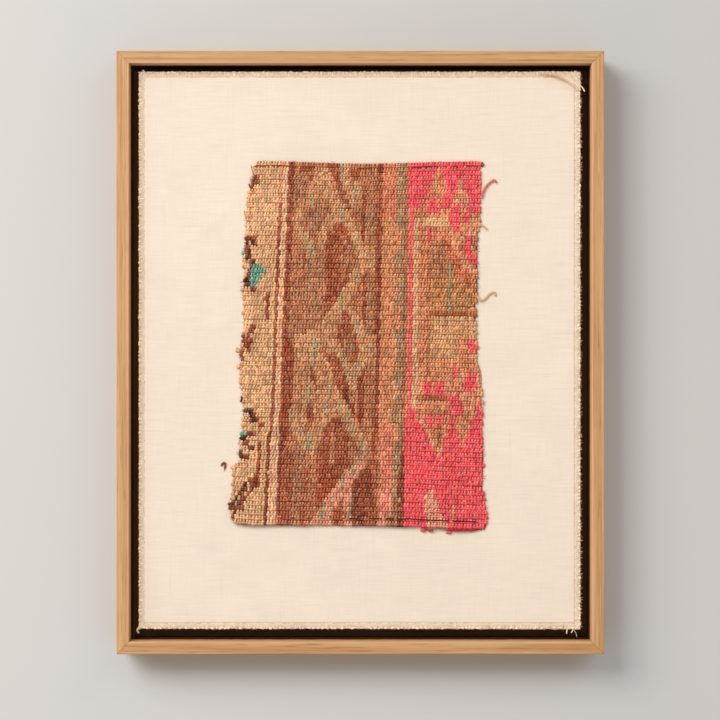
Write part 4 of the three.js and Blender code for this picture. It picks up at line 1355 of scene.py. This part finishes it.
# Loose yarns of two plies: routes in mm as (x, z, above where it would lie)
looseYarns = {
    "yarn_pink": {"name": "loosePinkYarn", "slot": "pink_wool", "yarn": "pinkLoose", "thickness": 2.4, "route": [
        (106.2, -123, 1.6), (107.2, -121.7, 0.9), (109, -116.4, 0.8), (112.8, -110.9, 0.5), (118, -107.2, 0.2),
        (119.6, -108.6, 0.1)]},
    "yarn_tan": {"name": "looseTanYarn", "slot": "tan_wool", "yarn": "tanLoose", "thickness": 2.1, "route": [
        (102.2, -209.2, 1.2), (103.4, -210.6, 1.0), (106.4, -213.5, 0.9), (110.4, -211.8, 0.5), (114.5, -207.5, 0.3),
        (118.6, -206.3, 0.2), (119.4, -209.2, 0.1)]},
    "yarn_tan_short": {"name": "looseTanEnd", "slot": "tan_wool", "yarn": "tanLoose", "thickness": 2.1, "route": [
        (104.8, -145.6, 1.2), (106, -146.4, 0.8), (108.4, -147.6, 0.5), (111, -149.9, 0.1)]},
    "yarn_dark_red": {"name": "looseDarkRedTuft", "slot": "dark_red_wool", "yarn": "rustDark", "thickness": 2.0,
        "route": [(-122.9, -359.4, 0), (-121.4, -357.4, 0.5), (-119.4, -357.4, 0.5), (-119.8, -362.2, 0)]},
}
yarnPly = {"turnLength": 3.4, "steps": 9, "frayed": 5}
edgeLoops = [  # thin yarns that stay on the fragment's edge: route in mm, thickness, yarn
    ([(102, -267, 1.5), (105.4, -274.5, 1.0), (106.6, -284, 0.8), (105.6, -290, 1.0), (103.2, -292.5, 1.8)],
     1.1, "rose"),
    ([(102.6, -268, 2.2), (103.2, -274, 1.6), (103.4, -281, 1.4), (103.0, -287, 2.0)], 0.7, "tanPale"),
    ([(-95.4, -95, 1.4), (-94.2, -98.5, 1.6), (-92.4, -102.6, 2.0)], 1.5, "tanLoose"),
    ([(-96.4, -94.2, 0.8), (-95.2, -99, 1.2), (-93.6, -104, 2.0)], 1.1, "greyBrown"),
    ([(-98.6, -110.4, 0.8), (-97.2, -113.6, 1.4), (-95.2, -117.2, 2.2)], 1.3, "umber"),
    ([(-102.8, -134, 0.6), (-102.2, -138, 1.0), (-101.4, -141.4, 1.8)], 1.1, "tanLoose"),
]


def yarnPoint(place, thickness):  # in mm, with the yarn's underside that far above the cloth
    x, z, above = place
    return Vector((x, clothSize["frontY"] / mm - thickness / 2 - 0.15 - above, z))


def pliedStrands(route, thickness, plies=2):
    curve = smoothRoute([yarnPoint(place, thickness) for place in route], yarnPly["steps"])
    travelled, strands = 0.0, [[] for _ in range(plies)]
    for index, point in enumerate(curve):
        ahead = curve[min(index + 1, len(curve) - 1)] - curve[max(index - 1, 0)]
        ahead.normalize()
        side = ahead.cross(Vector((0, 1, 0))).normalized()
        out = side.cross(ahead)
        if index:
            travelled += (point - curve[index - 1]).length
        for ply in range(plies):
            turn = 2 * math.pi * (travelled / yarnPly["turnLength"] + ply / plies)
            offset = side * math.cos(turn) + out * math.sin(turn)
            strands[ply].append((point + offset * thickness * 0.22) * mm)
    return [(points, thickness * 0.3 * mm) for points in strands]


def frayedEnd(route, thickness):  # a few hairs that open at the yarn's free end
    root = yarnPoint(route[-1], thickness)
    run = root - yarnPoint(route[-2], thickness)
    run = Vector((run.x, 0, run.z)).normalized()
    hairs = []
    for _ in range(yarnPly["frayed"]):
        spread = Vector((jitter(0.7), random.uniform(-0.3, 0.1), jitter(0.7)))
        reach = random.uniform(0.8, 2.0)
        hairs.append((hair(root * mm, run * reach * mm, spread * reach * mm, (-0.3, 0.4, 1)), 0.16 * mm))
    return hairs


def makeLooseYarns():
    random.seed(41)
    for node, setup in looseYarns.items():
        route, thickness, colour = setup["route"], setup["thickness"], yarnColour(setup["yarn"])
        strands = pliedStrands(route, thickness) + frayedEnd(route, thickness)
        mesh = strandMesh(setup["name"], strands, 8, [colour * random.uniform(0.8, 1.1) for _ in strands])
        addObject(setup["name"], mesh, yarnMaterial, node)
    strands, colours = [], []
    for route, thickness, name in edgeLoops:
        made = pliedStrands(route, thickness)
        strands += made
        colours += [yarnColour(name) * random.uniform(0.8, 1.1) for _ in made]
    mesh = strandMesh("edgeWhiskers", strands, 6, colours)
    return addToFragment("edgeWhiskers", mesh, yarnMaterial)


knotPieces = makeKnots()
fragmentGround = makeFragmentGround()
onFragment = knotPieces + [makeStitches(), makeTufts(), makeFuzz(), makeLooseYarns()]
print("fragment made")


# Stage: a pale wall behind, seen from the front only, and a pale floor far below
stageSetup = {
    "wallY": 0.6 * mm, "wallHalf": 3.0, "floorZ": -1.45,
    "wallTone": (0.648, 0.612, 0.582, 1), "floorTone": (0.66, 0.64, 0.62, 1),
    "frameHalfX": 0.214, "frameHalfZ": 0.265, "frameMiddleZ": -0.2595,
    "nearReach": 0.1, "nearLoss": (0.055, 0.02, 0.0), "underLoss": (0.12, 0.22, 0.33),  # red, green, blue
}


def wallLight(tree, here, shade):  # the room's light falls off to the right, upwards, close to the frame and under it
    x, _, z = axesOf(tree, here)
    shade = times(tree, shade, remap(tree, x, -0.33, 0.33, 1.02, 0.97))
    shade = times(tree, shade, remap(tree, z, -0.6, 0.07, 1.03, 0.95))
    outX = minus(tree, calc(tree, "ABSOLUTE", x), stageSetup["frameHalfX"])
    outZ = minus(tree, calc(tree, "ABSOLUTE", minus(tree, z, stageSetup["frameMiddleZ"])), stageSetup["frameHalfZ"])
    near = remap(tree, calc(tree, "MAXIMUM", outX, outZ), 0.0, stageSetup["nearReach"], 1.0, 0.0)
    under = times(tree, remap(tree, z, -0.556, -0.533), remap(tree, z, -0.525, -0.51, 1.0, 0.0))
    under = times(tree, under, remap(tree, outX, -0.03, 0.002, 1.0, 0.0))
    light = tree.nodes.new("ShaderNodeCombineColor")
    for index, (nearLoss, underLoss) in enumerate(zip(stageSetup["nearLoss"], stageSetup["underLoss"])):
        lost = plus(tree, times(tree, near, nearLoss), times(tree, under, underLoss))
        put(tree, light.inputs[index], times(tree, shade, minus(tree, 1.0, lost)))
    return light.outputs[0]


def hideBack(tree):  # the plane is seen from its front only
    output = tree.nodes["Material Output"]
    clear = tree.nodes.new("ShaderNodeBsdfTransparent")
    either = tree.nodes.new("ShaderNodeMixShader")
    geometry = tree.nodes.new("ShaderNodeNewGeometry")
    faces = (geometry.outputs["Backfacing"], tree.nodes["Principled BSDF"].outputs[0], clear.outputs[0])
    for source, target in zip(faces, either.inputs):
        tree.links.new(source, target)
    tree.links.new(either.outputs[0], output.inputs["Surface"])


def makeStagePlane(name, corners, colour, isWall):
    sheet = bmesh.new()
    sheet.faces.new([sheet.verts.new(corner) for corner in corners])
    plane = linkObject(name, finishMesh(sheet, name))
    material, tree, shader = startMaterial(name + "Paint", 0.9, 0.0, 0.2)
    here = objectPoint(tree)
    shade = plus(tree, 0.985, times(tree, cloudy(tree, here, 3.0, 2), 0.03))
    light = wallLight(tree, here, shade) if isWall else grey(tree, shade)
    put(tree, shader["Base Color"], tinted(tree, colour, light))
    if isWall:
        hideBack(tree)
    plane.visible_shadow = False
    plane.visible_diffuse = False
    plane.data.materials.append(material)
    return plane


def makeStage():
    half, y, floorZ = stageSetup["wallHalf"], stageSetup["wallY"], stageSetup["floorZ"]
    wallCorners = [(-half, y, floorZ), (half, y, floorZ), (half, y, half), (-half, y, half)]
    makeStagePlane("wallBackdrop", wallCorners, stageSetup["wallTone"], True)
    floorCorners = [(-half, -half, floorZ), (half, -half, floorZ), (half, half, floorZ), (-half, half, floorZ)]
    makeStagePlane("paleFloor", floorCorners, stageSetup["floorTone"], False)


# Light: soft panels that face the frame's middle, an even surround, and one panel behind for the back
studio = {
    "middle": (0.0, 0.0, -0.26), "panelSize": 1.3, "surround": 0.54, "colour": (1.0, 1.0, 1.0),
    "panels": {
        "keyPanel": ((-1.4, -2.0, 1.14), 44), "sidePanel": ((-2.8, -2.0, 1.14), 26.5),
        "rightPanel": ((1.4, -2.0, 1.14), 4.7), "backPanel": ((0.6, 2.4, 0.6), 30),
    },
}


def makeLights():
    middle = Vector(studio["middle"])
    for name, (place, power) in studio["panels"].items():
        data = bpy.data.lights.new(name, "AREA")
        data.shape = "SQUARE"
        data.size = studio["panelSize"]
        data.energy = power
        data.color = studio["colour"]
        light = linkObject(name, data)
        light.location = place
        light.rotation_euler = (middle - light.location).to_track_quat("-Z", "Y").to_euler()
        light.visible_camera = False
    world = bpy.data.worlds.new("surround")
    scene.world = world
    world.use_nodes = True
    background = world.node_tree.nodes["Background"]
    background.inputs["Color"].default_value = (*studio["colour"], 1)
    background.inputs["Strength"].default_value = studio["surround"]


makeStage()
makeLights()
print("stage and lights set")
